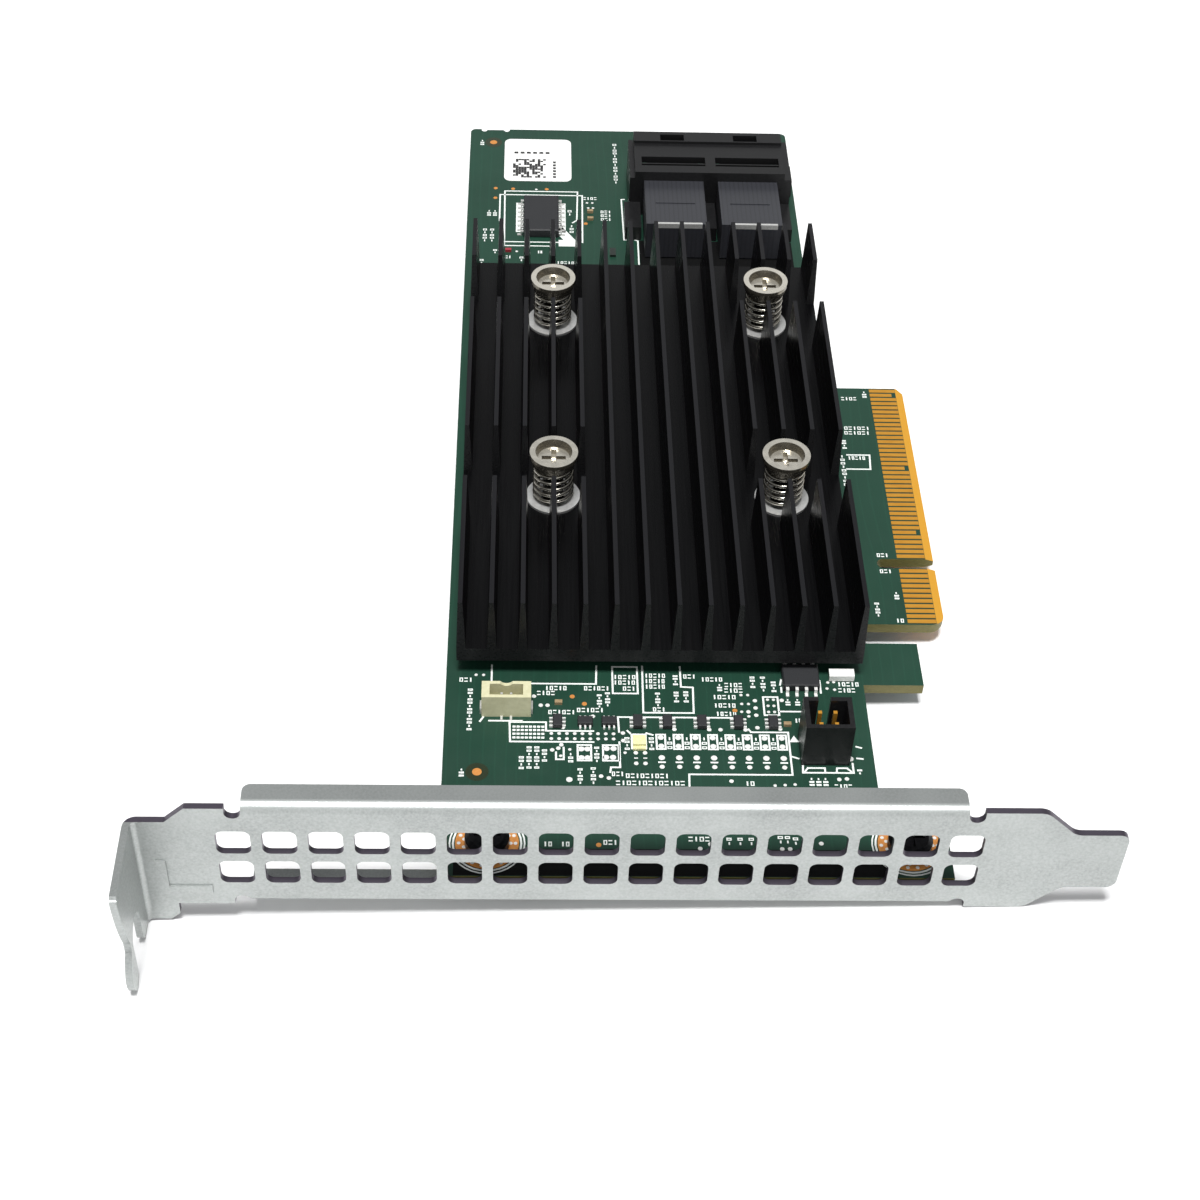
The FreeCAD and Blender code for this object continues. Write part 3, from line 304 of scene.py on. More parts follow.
def turned_screw():
    """Turned screw, nickel plated: flat faces, the rim among them, painted pale as a painted
    highlight round a cup in a darker tone that partly stands in for its shade, and the shank
    painted dark below the spring's top as painted shade between the coils."""
    material, tree, shader = start_material("Turned steel screw, nickel plated", "#a39d90",
                                            0.22, 0.85)
    # the darker base tone is partly the nickel's own and partly painted shade for the cup
    metal = burnish(tree, shader, 1.2, 2.0, "#8b8578", "#6f6a60", 0.18, 0.28)
    # painted highlight: every flat face of the screw, its rim among them, is painted pale
    rim_painted_highlight = add_node(tree, "ShaderNodeMix", {"data_type": "RGBA", SECOND: "#ece7da"},
                   {FACTOR: facing(tree, "Z", FLAT), FIRST: metal}).outputs[RESULT]
    # painted shade: the screw below the spring's top, its shank between the coils, is painted
    # near-black
    shank_painted_shade = on_side(tree, "Z", "LESS_THAN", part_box("springs")[1][2])
    whole = add_node(tree, "ShaderNodeMix", {"data_type": "RGBA", SECOND: "#2b2926"},
                     {FACTOR: shank_painted_shade, FIRST: rim_painted_highlight})
    tree.links.new(whole.outputs[RESULT], shader.inputs["Base Color"])
    return material


def spring_wire():
    """Drawn spring wire, nickel flashed: each coil catches one thin bright line."""
    material, tree, shader = start_material("Spring wire, drawn, nickel flashed", "#b9b5ab",
                                            0.2, 0.95)
    burnish(tree, shader, 2.5, 1.0, "#c4c0b6", "#9c988e", 0.16, 0.24)
    return material


def zinc_washer():
    """Stamped washer, clear zinc: pale and soft-sheened."""
    return plated("Steel washer, clear zinc", "#e6e6e4", "#d2d2d0", 0.45, 0.5, metallic=0.8)


def matte_tin():
    """Tin plated leads and pads: pale grey, satin."""
    return plated("Tin plate, matte", "#dededb", "#c6c6c3", 0.45, 0.3, metallic=0.6)


def reflowed_solder():
    """Solder pads, levelled: pale solder painted near-white as a painted highlight for the shine
    of domed solder.
    """
    # painted highlight: the near-white, barely metallic tone stands in for the shine that domed
    # solder catches
    return plated("Solder, hot-air levelled, painted highlight", "#f2f2ef", "#dcdcd8", 0.4, 0.4, metallic=0.2)


def moulded(name, colour, shade, roughness, grain_mm=0.25, depth_mm=0.004, specular=0.5):
    """A moulded piece with a fine spark-eroded grain and a slight change of tone. The
    grain is drawn several times coarser than the real one, so that it shows."""
    material, tree, shader = start_material(name, colour, roughness, IOR=1.52,
                                            Specular_IOR_Level=specular)
    dress(tree, shader, grain(tree, grain_mm), colour, shade,
          roughness * 0.88, roughness * 1.15, depth_mm)
    return material


def black_polymer():
    """Glass-filled polymer, moulded black: satin, slightly grey where light grazes it."""
    return moulded("Glass-filled polymer, moulded black", "#151516", "#1c1c1d", 0.35,
                   specular=0.3)


def ribbed_wafer():
    """Stacked terminal wafers, moulded dark grey: fine upright joints every 0.75 mm."""
    material, tree, shader = start_material("Liquid-crystal polymer wafers, moulded", "#3a3b41",
                                            0.4, IOR=1.6)
    wave = add_node(tree, "ShaderNodeTexWave",
                    {"wave_type": "BANDS", "bands_direction": "X",
                     "Scale": 1 / (WAFER * MM * 20 / (2 * pi)), "Distortion": 0.0},
                    {"Vector": object_place(tree)}).outputs["Fac"]
    joint = add_node(tree, "ShaderNodeMapRange", {"From Min": 0.0, "From Max": 0.25,
                                                  "To Min": 1.0, "To Max": 0.0},
                     {"Value": wave}).outputs["Result"]
    tone = add_node(tree, "ShaderNodeMix",
                    {"data_type": "RGBA", FIRST: "#2e2f34", SECOND: "#27282c"},
                    {FACTOR: joint}).outputs[RESULT]
    bump = add_node(tree, "ShaderNodeBump", {"Distance": 0.006 * MM}, {"Height": wave})
    tree.links.new(tone, shader.inputs["Base Color"])
    tree.links.new(bump.outputs["Normal"], shader.inputs["Normal"])
    return material


def cream_nylon():
    """Natural nylon, moulded: warm off-white, a little translucent-looking."""
    return moulded("Nylon, natural, moulded", "#cfccaa", "#c3c09c", 0.4, 0.6)


def chip_compound():
    """Transfer-moulded chip compound: charcoal with a sand-fine matte surface."""
    return moulded("Epoxy compound, transfer moulded", "#26272a", "#1d1e20", 0.55, 0.12, 0.006)


def chip_package():
    """Chip package laminate with a dull green mask."""
    return moulded("Package laminate, masked", "#1d5a3a", "#184d33", 0.45, 0.8)


def thermal_pad():
    """Silicone gap pad: soft pale grey."""
    return moulded("Silicone gap pad, calendered", "#9b9ea1", "#8b8e92", 0.8, 0.4)


def fired(name, colour, shade, roughness, split_mm=None, left_colour=None):
    """A fired ceramic chip part with tinned end caps. Parts left of a split along X can
    have another colour."""
    material, tree, shader = start_material(name, colour, roughness, IOR=1.6)
    body = add_node(tree, "ShaderNodeMix", {"data_type": "RGBA", FIRST: colour, SECOND: shade},
                    {FACTOR: mottle(tree, 0.3)}).outputs[RESULT]
    if left_colour:
        left = on_side(tree, "X", "LESS_THAN", split_mm * MM)
        body = add_node(tree, "ShaderNodeMix", {"data_type": "RGBA", SECOND: left_colour},
                        {FACTOR: left, FIRST: body}).outputs[RESULT]
    front_painted_light = facing(tree, "X", END)
    capped = add_node(tree, "ShaderNodeMix", {"data_type": "RGBA", SECOND: "#c9c9c6"},
                      {FACTOR: front_painted_light, FIRST: body}).outputs[RESULT]
    tree.links.new(capped, shader.inputs["Base Color"])
    tree.links.new(front_painted_light, shader.inputs["Metallic"])
    return material


def lamp_resin():
    """Cast indicator resin: pale yellow, clear and glossy."""
    return moulded("Indicator resin, cast", "#e8e6b4", "#d8d49a", 0.15, 0.5, 0.001)


def coated_paper():
    """Thermal label paper, coated: clean white with a slight fibre tone."""
    return moulded("Label paper, coated", "#f1f1ef", "#e6e6e3", 0.45, 0.5, 0.002)


def printing_ink(name, colour, shade, roughness=0.55, specular=0.5):
    """Screen-printed ink: flat, opaque and slightly grainy at its edges."""
    return moulded(name, colour, shade, roughness, 0.15, 0.004, specular)


def bare_laminate():
    """Laminate with no copper under the mask: a darker, browner green."""
    return moulded("Laminate under mask, no copper", "#26301c", "#202a18", 0.3, 0.4)


MATERIALS = {}


def make_materials(settings):
    """Builds every finish once."""
    MATERIALS.update(
        mask=masked_laminate(settings), gold=gold_plate(), copper=bare_copper(),
        zinc=zinc_sheet(settings), black_screw=black_oxide(), anodised=black_anodised(settings),
        nickel=nickel_plate(), screw=turned_screw(), spring=spring_wire(),
        washer=zinc_washer(), tin=matte_tin(), black=black_polymer(),
        wafer=ribbed_wafer(), nylon=cream_nylon(), compound=chip_compound(),
        package=chip_package(), pad=thermal_pad(), solder=reflowed_solder(),
        bare_laminate=bare_laminate(),
        alumina=fired("Alumina, fired", "#efefec", "#e2e2df", 0.4),
        titanate=fired("Barium titanate, fired", "#a08a68", "#8d7858", 0.45, -60.0, "#9c2a38"),
        resistor=fired("Resistor array, glazed", "#1d2620", "#161d19", 0.35),
        lamp=lamp_resin(), paper=coated_paper(),
        ink=printing_ink("Epoxy legend ink, white, screen printed", "#eef2ee", "#dfe3df"),
        print_black=printing_ink("Thermal print, black", "#202020", "#2a2a2a"),
        # painted shade: near-black film laid where the board lies in shade
        seat_black=printing_ink("Black film, painted shade", "#050506", "#090909",
                                0.6, 0.15))


NODE_FINISH = {
    "mask": ("circuit_board",),
    "gold": ("edge_contacts_component_side", "edge_contacts_solder_side", "port_contacts",
             "jumper_pins"),
    "copper": ("ground_rings",),
    "zinc": ("bracket",),
    "black_screw": ("bracket_screws",),
    "anodised": ("heatsink",),
    "nickel": ("back_nuts", "controller_lid"),
    "screw": ("shoulder_screws",),
    "spring": ("springs",),
    "washer": ("washers",),
    "tin": ("tail_combs", "connector_tails", "wire_header_metal", "flash_chip_leads"),
    "solder": ("small_chip_leads", "transistor_leads"),
    "black": ("connector_housing", "contact_carrier_left", "contact_carrier_right",
              "jumper_header"),
    "wafer": ("terminal_block_left", "terminal_block_right"),
    "nylon": ("wire_header",),
    "compound": ("flash_chip", "small_chip", "transistors"),
    "package": ("controller_substrate",),
    "pad": ("thermal_pad",),
    "alumina": ("ceramic_fuse",),
    "titanate": ("capacitors", "back_capacitors"),
    "resistor": ("resistor_array",),
    "lamp": ("indicator_lamp",),
    "paper": ("label",),
}


# ---- building pieces --------------------------------------------------------------------
BOARD_LOW, BOARD_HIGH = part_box("circuit_board")
BOARD_TOP = BOARD_HIGH[2] / MM


def finish_piece(bm, name, material):
    """Turns a bmesh into an object that rides on the card."""
    bmesh.ops.recalc_face_normals(bm, faces=bm.faces)
    mesh = bpy.data.meshes.new(name)
    bm.to_mesh(mesh)
    bm.free()
    piece = bpy.data.objects.new(name, mesh)
    bpy.context.scene.collection.objects.link(piece)
    mesh.materials.append(MATERIALS[material])
    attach(piece, "root")
    return piece


def add_slab(bm, x0, x1, y0, y1, z0, z1):
    """A box between two corners, in millimetres."""
    place = (Matrix.Translation(Vector(((x0 + x1) / 2, (y0 + y1) / 2, (z0 + z1) / 2)) * MM)
             @ Matrix.Diagonal(Vector((x1 - x0, y1 - y0, z1 - z0, 1 / MM)) * MM))
    bmesh.ops.create_cube(bm, size=1, matrix=place)


def add_frame(bm, x0, x1, y0, y1, line, z0, z1):
    """A printed rectangle outline as four strokes."""
    add_slab(bm, x0, x1, y0, y0 + line, z0, z1)
    add_slab(bm, x0, x1, y1 - line, y1, z0, z1)
    add_slab(bm, x0, x0 + line, y0 + line, y1 - line, z0, z1)
    add_slab(bm, x1 - line, x1, y0 + line, y1 - line, z0, z1)


def add_line(bm, points, line, z0, z1):
    """A printed line through several points, a turned slab for each stretch.
    Every second stretch stands a hair higher, so that no two tops lie in one plane."""
    for k, ((x0, y0), (x1, y1)) in enumerate(zip(points, points[1:])):
        way = Vector((x1 - x0, y1 - y0, 0))
        high = z1 - z0 + HAIR * (k % 2)
        place = (Matrix.Translation(Vector(((x0 + x1) / 2, (y0 + y1) / 2, z0 + high / 2)) * MM)
                 @ way.to_track_quat("X", "Z").to_matrix().to_4x4()
                 @ Matrix.Diagonal(Vector((way.length + line, line, high, 1 / MM)) * MM))
        bmesh.ops.create_cube(bm, size=1, matrix=place)


def add_mark(bm, x, y, wide, high, kind, z0, z1):
    """A small stand-in for a printed character: a box, two bars or one bar."""
    line, bar = MARK_STROKE, MARK_STROKE * 1.3
    if kind % 3 == 0:
        add_frame(bm, x, x + wide, y, y + high, line, z0, z1)
    elif kind % 3 == 1:
        for low in (y, y + high - bar):
            add_slab(bm, x, x + wide, low, low + bar, z0, z1)
    else:
        add_slab(bm, x + wide / 2 - line * 0.7, x + wide / 2 + line * 0.7, y, y + high, z0, z1)


def add_word(bm, x0, x1, y, count, z0, z1):
    """A row of marks between two places, read from the board's near edge."""
    pitch = (x1 - x0) / count
    for k in range(count):
        add_mark(bm, x0 + k * pitch, y - MARK_HIGH / 2, pitch - MARK_GAP, MARK_HIGH, k + count,
                 z0, z1)


def add_upright_word(bm, x, y0, y1, count, z0, z1):
    """A row of marks that climbs the board."""
    pitch = (y1 - y0) / count
    for k in range(count):
        kind = (k + count) % 3 // 2 * 2
        add_mark(bm, x - UPRIGHT_WIDE / 2, y0 + k * pitch, UPRIGHT_WIDE, pitch * UPRIGHT_FILL,
                 kind, z0, z1)


def add_dot(bm, x, y, radius, z0, z1, sides=10):
    """A small upright disc."""
    bmesh.ops.create_cone(bm, cap_ends=True, segments=sides, radius1=radius * MM,
                          radius2=radius * MM, depth=(z1 - z0) * MM,
                          matrix=Matrix.Translation(Vector((x, y, (z0 + z1) / 2)) * MM))


def add_ring(bm, x, y, inner, outer, z0, z1, sides=32):
    """A flat ring, spun from a small rectangle."""
    centre = Vector((x, y, 0)) * MM
    corners = [bm.verts.new(Vector((x + r, y, z)) * MM)
               for r, z in ((inner, z0), (outer, z0), (outer, z1), (inner, z1))]
    profile = bm.faces.new(corners)
    bmesh.ops.spin(bm, geom=[profile] + list(profile.edges) + corners, cent=centre,
                   axis=(0, 0, 1), angle=2 * pi, steps=sides, use_merge=True)
    bm.faces.remove(profile)


class CardSettings(bpy.types.PropertyGroup):
    """Sizes and colours that a user would change."""
    mask_green: bpy.props.FloatVectorProperty(
        name="Solder mask", description="Colour of the board's solder mask",
        subtype="COLOR", size=4, min=0, max=1, default=linear("#1b3e30"))
    zinc_tone: bpy.props.FloatVectorProperty(
        name="Zinc", description="Paler tone of the bracket's plating",
        subtype="COLOR", size=4, min=0, max=1, default=linear("#acafae"))
    sink_black: bpy.props.FloatVectorProperty(
        name="Anodising", description="Darker tone of the heatsink",
        subtype="COLOR", size=4, min=0, max=1, default=linear("#050506"))
    ink_height: bpy.props.FloatProperty(
        name="Ink height", description="How far printed legend stands above the mask",
        default=0.02 * MM, unit="LENGTH", precision=5)
    stroke: bpy.props.FloatProperty(
        name="Stroke", description="Width of a printed line",
        default=0.25 * MM, unit="LENGTH", precision=5)
    wire: bpy.props.FloatProperty(
        name="Spring wire", description="Diameter of the heatsink springs' wire",
        default=0.50 * MM, unit="LENGTH", precision=5)
    coil: bpy.props.FloatProperty(
        name="Spring coil", description="Outer diameter of the heatsink springs",
        default=5.9 * MM, unit="LENGTH", precision=5)
    turns: bpy.props.FloatProperty(
        name="Spring turns", description="Turns of each heatsink spring",
        default=5.0, min=2, max=9)


def settings():
    """The scene's card settings."""
    return bpy.context.scene.card_settings


def print_layer():
    """Bottom and top of the printed legend, in millimetres."""
    return BOARD_TOP, BOARD_TOP + settings().ink_height / MM


# ---- operators ---------------------------------------------------------------------------
class CARD_OT_finishes(bpy.types.Operator):
    """Makes the finishes and gives each solid its own"""
    bl_idname = "card.finishes"
    bl_label = "Finishes"

    def execute(self, context):
        make_materials(settings())
        for finish, nodes in NODE_FINISH.items():
            for node in nodes:
                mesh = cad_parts[node].data
                mesh.materials.clear()
                mesh.materials.append(MATERIALS[finish])
        return {"FINISHED"}


class CARD_OT_outlines(bpy.types.Operator):
    """Prints the component outlines and the lines that lead off from them"""
    bl_idname = "card.outlines"
    bl_label = "Component outlines"

    def execute(self, context):
        z0, z1 = print_layer()
        line = settings().stroke / MM
        bm = bmesh.new()
        frames = [(-46.7, -43.1, -25.6, -20.5),
                  (-51.5, -49.5, -37.4, -34.5), (-48.2, -45.9, -37.4, -34.5),
                  (-44.4, -42.3, -35.3, -32.6), (-26.6, -24.4, -29.3, -25.8)]
        for x0, x1, y0, y1 in frames:
            add_frame(bm, x0, x1, y0, y1, line, z0, z1)
        paths = [
            [(-51.0, 82.2), (-50.3, 82.9), (-50.1, 91.3), (-62.6, 91.3), (-62.5, 75.4),
             (-54.1, 75.4)],
            [(-62.3, 76.5), (-53.2, 76.5)], [(-63.4, 82.5), (-63.4, 90.2), (-49.3, 90.2),
                                             (-49.4, 76.6)],
            [(-42.1, 89.3), (-42.6, 89.3), (-42.4, 77.5), (-42.0, 77.5)],
            [(-40.8, 77.7), (-40.1, 77.2), (-40.1, 70.7)],
            [(-10.2, 23.4), (-6.8, 23.4), (-7.0, 20.2), (-10.5, 20.2)],
            [(-62.8, -23.3), (-62.8, -20.5)], [(-57.5, -23.8), (-48.8, -23.8), (-48.7, -20.5)],
            [(-63.0, -30.5), (-58.7, -30.5)], [(-64.2, -30.6), (-63.8, -29.9)],
            [(-49.3, -34.1), (-60.2, -34.1), (-60.3, -30.7), (-55.5, -30.7), (-55.5, -32.2),
             (-49.3, -32.2)],
            [(-54.2, -35.9), (-54.2, -37.1), (-53.2, -37.1), (-53.2, -35.1)],
            [(-42.5, -20.5), (-42.6, -28.9), (-35.9, -28.9), (-35.8, -24.3), (-37.4, -24.2),
             (-37.4, -20.5)],
            [(-44.1, -29.7), (-46.0, -29.7), (-45.9, -32.3)], [(-42.8, -29.7), (-39.9, -29.7)],
            [(-38.9, -29.7), (-35.5, -29.7)], [(-34.3, -29.7), (-30.7, -29.7)],
            [(-45.9, -34.1), (-45.9, -38.4), (-47.1, -38.4), (-47.2, -39.2)],
            [(-44.8, -32.1), (-44.4, -32.6)], [(-42.3, -32.5), (-41.5, -32.8)],
            [(-37.1, -42.6), (-37.0, -39.5), (-23.6, -39.5), (-23.6, -32.2), (-28.5, -32.2),
             (-28.8, -31.7)],
            [(-24.4, -28.5), (-21.2, -28.5)], [(-22.1, -37.5), (-22.2, -39.1), (-15.6, -39.1),
                                               (-15.6, -37.5)],
            [(-22.0, -39.0), (-21.5, -38.3), (-19.3, -38.3), (-19.3, -38.9)],
            [(-17.8, -38.9), (-17.7, -38.3), (-16.4, -38.3), (-15.8, -39.0)],
            [(-22.1, -33.9), (-22.1, -32.2), (-21.6, -32.7)], [(-14.8, -34.6), (-14.2, -34.8)],
            [(-14.9, -36.6), (-14.2, -36.7)], [(-23.4, -36.4), (-22.6, -36.7)],
            [(-23.8, -22.8), (-24.0, -23.7)], [(-23.9, -24.2), (-23.9, -25.0)],
            [(-18.6, -22.9), (-18.6, -25.1)]]
        for path in paths:
            add_line(bm, path, line, z0, z1)
        add_dot(bm, -22.9, -33.5, 0.75, z0, z1, 3)
        add_slab(bm, -60.6, -59.4, 79.3, 87.8, z0, z1)
        add_slab(bm, -53.5, -52.2, 79.3, 87.8, z0, z1)
        add_line(bm, [(-53.0, 79.6), (-51.7, 77.4)], 1.7, z0, z1)
        add_slab(bm, -53.4, -50.6, 75.4, 77.2, z0, z1 + HAIR)
        finish_piece(bm, "component_outlines", "ink")
        return {"FINISHED"}


class CARD_OT_lamp_row(bpy.types.Operator):
    """Prints the row of empty indicator places with their pads"""
    bl_idname = "card.lamp_row"
    bl_label = "Indicator places"

    def execute(self, context):
        z0, z1 = print_layer()
        line = settings().stroke / MM
        boxes, pads = bmesh.new(), bmesh.new()
        first, pitch, count = -40.45, 2.275, 8
        for k in range(count):
            x = first + k * pitch
            add_frame(boxes, x - 0.7, x + 0.7, -35.35, -32.6, line, z0, z1)
            add_slab(boxes, x - 0.5, x + 0.5, -37.6, -37.35, z0, z1)
            if k < count - 1:
                add_upright_word(boxes, x + pitch / 2, -35.2, -32.9, 3, z0, z1)
            for y, radius in ((-33.25, 0.4), (-34.7, 0.4), (-36.7, 0.42), (-38.25, 0.34)):
                add_dot(pads, x, y, radius, z0, z1, 14)
        finish_piece(boxes, "indicator_boxes", "ink")
        finish_piece(pads, "indicator_pads", "solder")
        return {"FINISHED"}


class CARD_OT_legend(bpy.types.Operator):
    """Prints generic marks where a board carries its part references"""
    bl_idname = "card.legend"
    bl_label = "Legend marks"

    def execute(self, context):
        z0, z1 = print_layer()
        bm = bmesh.new()
        words = [(-67.1, -65.2, -23.2, 3), (-55.6, -52.6, -24.6, 5), (-56.7, -54.2, -25.5, 4),
                 (-55.2, -51.5, -28.9, 6), (-51.4, -47.7, -28.5, 6), (-50.4, -46.9, -24.6, 6),
                 (-46.4, -43.3, -22.5, 5), (-46.4, -43.4, -23.5, 5), (-45.2, -43.4, -24.6, 3),
                 (-42.2, -39.3, -22.2, 5), (-42.2, -39.4, -23.2, 5), (-42.2, -39.4, -24.2, 5),
                 (-37.0, -35.2, -22.3, 3), (-34.6, -31.6, -22.8, 5), (-31.5, -29.0, -23.8, 4),
                 (-31.6, -29.0, -24.8, 4), (-33.2, -30.0, -26.0, 5), (-33.1, -30.1, -27.5, 5),
                 (-32.9, -30.1, -29.0, 5), (-41.3, -39.5, -28.3, 3), (-47.0, -45.3, -39.5, 3),
                 (-45.2, -39.5, -39.8, 9), (-46.5, -37.5, -41.0, 13), (-16.2, -13.2, -23.5, 5),
                 (-16.2, -13.8, -24.6, 4), (-22.5, -21.5, -30.1, 2), (-18.3, -15.9, -41.4, 4),
                 (-29.8, -28.5, -41.0, 2), (-49.1, -46.7, 89.4, 4), (-46.2, -44.3, 85.5, 3),
                 (-46.2, -44.3, 84.4, 3), (-46.2, -44.3, 83.3, 3), (-62.7, -61.2, 72.2, 3),
                 (-56.9, -56.0, 73.7, 2), (-53.7, -50.7, 70.8, 5), (-9.8, -7.3, 36.6, 4),
                 (-10.1, -7.4, 22.7, 5), (-8.1, -6.3, 1.7, 3), (-8.0, -6.2, -1.6, 3),
                 (-6.8, -5.6, -11.4, 2), (-10.0, -6.0, 29.6, 6), (-10.1, -6.1, 28.5, 6),
                 (-55.8, -54.6, -51.0, 2), (-53.6, -52.4, -51.0, 2), (-48.3, -46.4, -50.7, 3),
                 (-37.6, -34.8, -50.1, 4)]
        for word in words:
            add_word(bm, *word, z0, z1)
        for y in (-31.5, -32.1, -32.75, -33.4):
            for k in range(8):
                add_slab(bm, -59.9 + k * 0.54, -59.5 + k * 0.54, y - 0.17, y + 0.17, z0, z1)
        upright = [(-65.6, -32.2, -24.6, 13), (-58.7, -38.8, -36.4, 4), (-57.7, -38.7, -34.7, 7),
                   (-56.7, -38.7, -34.7, 7), (-55.7, -37.5, -35.2, 4), (-52.3, -37.6, -35.8, 3),
                   (-51.1, -41.2, -38.4, 5), (-49.4, -41.2, -38.2, 5), (-66.4, -40.1, -38.6, 3),
                   (-48.4, -28.0, -25.5, 5), (-47.3, -27.8, -25.1, 5), (-40.6, -27.7, -25.1, 5),
                   (-38.1, -23.9, -21.9, 4), (-38.1, -27.0, -24.9, 4), (-36.8, -27.0, -24.8, 4),
                   (-32.2, -24.9, -23.5, 3), (-27.7, -24.3, -22.0, 4), (-48.9, -37.5, -34.7, 5),
                   (-26.3, -24.9, -22.0, 5), (-24.9, -25.0, -22.9, 4), (-23.2, -27.4, -26.1, 3),
                   (-21.9, -27.4, -26.1, 3), (-14.8, -39.3, -38.3, 2), (-21.2, -41.3, -39.8, 3),
                   (-20.3, -41.3, -39.8, 3), (-19.4, -41.3, -39.8, 3), (-44.9, -35.4, -33.0, 4),
                   (-41.7, -35.4, -33.0, 4), (-43.4, 94.1, 106.7, 14), (-65.2, 83.9, 85.7, 3),
                   (-64.2, 83.9, 85.7, 3), (-65.8, 76.5, 80.4, 5), (-64.6, 76.5, 80.4, 5),
                   (-66.2, 70.1, 71.8, 2), (-66.8, 105.4, 107.2, 3), (-64.0, 73.2, 74.5, 2),
                   (-59.6, 71.1, 72.6, 2), (-51.5, 84.3, 86.2, 2), (-51.2, 79.3, 81.8, 3),
                   (-6.1, 36.9, 38.6, 3), (-10.4, 24.8, 27.0, 4), (-11.0, 16.5, 23.6, 9),
                   (-6.2, -7.2, -5.6, 3), (-9.2, -10.6, -7.7, 5),
                   (-32.5, -51.0, -49.6, 2), (-31.1, -51.0, -49.6, 2), (-29.7, -51.0, -49.6, 2),
                   (-26.0, -50.7, -49.3, 2), (-25.1, -50.7, -49.3, 2), (-24.1, -50.9, -49.5, 2)]
        for word in upright:
            add_upright_word(bm, *word, z0, z1)
        finish_piece(bm, "legend_marks", "ink")
        return {"FINISHED"}


class CARD_OT_pads(bpy.types.Operator):
    """Lays the tinned solder pads of the small parts, most of them left empty"""
    bl_idname = "card.pads"
    bl_label = "Solder pads"

    def execute(self, context):
        z0, z1 = print_layer()
        bm = bmesh.new()
        groups = {
            0.42: [(-50.9, -35.3), (-50.1, -35.3), (-50.9, -36.8), (-50.1, -36.8),
                   (-47.6, -35.2), (-46.7, -35.2), (-47.7, -36.7), (-46.8, -36.7),
                   (-52.5, -40.5), (-21.9, -34.8), (-21.8, -36.7), (-15.8, -36.7)],
            0.3: [(-57.1, -26.1), (-56.2, -27.7), (-55.3, -27.7), (-49.3, -29.6),
                  (-53.3, -31.6), (-54.7, -35.5), (-53.9, -35.2), (-53.5, -34.6),
                  (-45.4, -32.5), (-45.4, -33.8), (-48.4, -39.9), (-47.4, -40.2),
                  (-43.8, -35.9), (-42.6, -35.9), (-43.8, -37.7), (-42.6, -37.7),
                  (-38.6, -31.8), (-34.0, -31.8), (-32.5, -31.8), (-28.6, -28.6),
                  (-29.2, -31.8), (-27.6, -31.4), (-27.6, -26.6), (-27.6, -27.9),
                  (-27.6, -29.2), (-31.6, -40.6), (-24.0, -26.5), (-24.6, -31.6),
                  (-17.6, -40.2), (-16.6, -40.1), (-36.2, -51.6), (-34.9, -50.9),
                  (-25.9, -51.6), (-24.9, -51.6), (-20.9, -50.7)],
            0.22: [(-64.9, -22.3), (-63.9, -22.3), (-53.6, -36.5), (-52.4, -35.4),
                   (-45.2, -35.9), (-30.2, -29.9), (-29.5, -28.6), (-29.4, -25.6),
                   (-28.5, -25.6), (-29.4, -27.2), (-28.5, -27.2), (-22.1, -35.6),
                   (-28.6, -29.4), (-17.5, -23.2), (-17.7, -24.3), (-16.7, -23.1),
                   (-16.7, -24.5), (-26.0, -41.3), (-24.7, -41.2), (-23.4, -41.1),
                   (-48.5, 88.1), (-47.6, 88.1), (-48.3, 86.6), (-47.5, 86.6), (-60.4, 73.8),
                   (-57.2, 91.9)]}
        for radius, places in groups.items():
            for x, y in places:
                add_dot(bm, x, y, radius, z0, z1, 14)
        for column in range(9):
            for y in (-32.65, -33.55):
                add_dot(bm, -54.8 + column * 1.02, y, 0.25, z0, z1, 12)
        for x in (-25.9, -25.1):
            for y in (-26.4, -27.5, -28.6):
                add_dot(bm, x, y, 0.22, z0, z1, 12)
        for x in (-43.8, -42.6):
            add_slab(bm, x - 0.25, x + 0.25, -36.9, -36.7, z0, z1)
        finish_piece(bm, "solder_pads", "solder")
        return {"FINISHED"}


class CARD_OT_vias(bpy.types.Operator):
    """Lays the copper test points and the board's two fiducials in their cleared rings"""
    bl_idname = "card.vias"
    bl_label = "Test points and fiducials"

    def execute(self, context):
        z0, z1 = print_layer()
        copper, cleared = bmesh.new(), bmesh.new()
        for x, y in ((-64.8, 106.3), (-64.4, -39.3)):
            add_dot(copper, x, y, 0.62, z0, z1, 24)
            add_ring(cleared, x, y, 0.62, 1.5, z0, z1 - RING_DROP)
        for x, y in ((-52.0, -26.1), (-50.4, -27.4), (-30.4, -28.4), (-64.2, 92.1),
                     (-64.2, 89.2), (-61.2, 92.0), (-55.4, 92.0), (-48.8, 82.0),
                     (-48.9, -51.1)):
            add_dot(copper, x, y, 0.34, z0, z1, 16)
        finish_piece(copper, "test_points_and_fiducials", "copper")
        finish_piece(cleared, "fiducial_clearances", "bare_laminate")
        return {"FINISHED"}


class CARD_OT_ground_marks(bpy.types.Operator):
    """Prints the double rings round the bracket screws and their stitching vias"""
    bl_idname = "card.ground_marks"
    bl_label = "Bracket screw marks"

    def execute(self, context):
        z0, z1 = print_layer()
        low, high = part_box("ground_rings")
        radius = (high[1] - low[1]) / 2 / MM
        y = (low[1] + high[1]) / 2 / MM
        copper_top = high[2] / MM
        rings, stitches = bmesh.new(), bmesh.new()
        for x in (low[0] / MM + radius, high[0] / MM - radius):
            add_ring(rings, x, y, radius + 0.15, radius + 0.4, z0, z1)
            add_ring(rings, x, y, radius + 0.6, radius + 0.8, z0, z1)
            for reach, count in STITCHES:
                for k in range(count):
                    turn = 2 * pi * k / count
                    add_dot(stitches, x + reach * cos(turn), y + reach * sin(turn), 0.24,
                            copper_top - 0.01, copper_top + 0.015, 12)
        finish_piece(rings, "ground_outline_rings", "ink")
        finish_piece(stitches, "ground_stitch_dots", "solder")
        return {"FINISHED"}


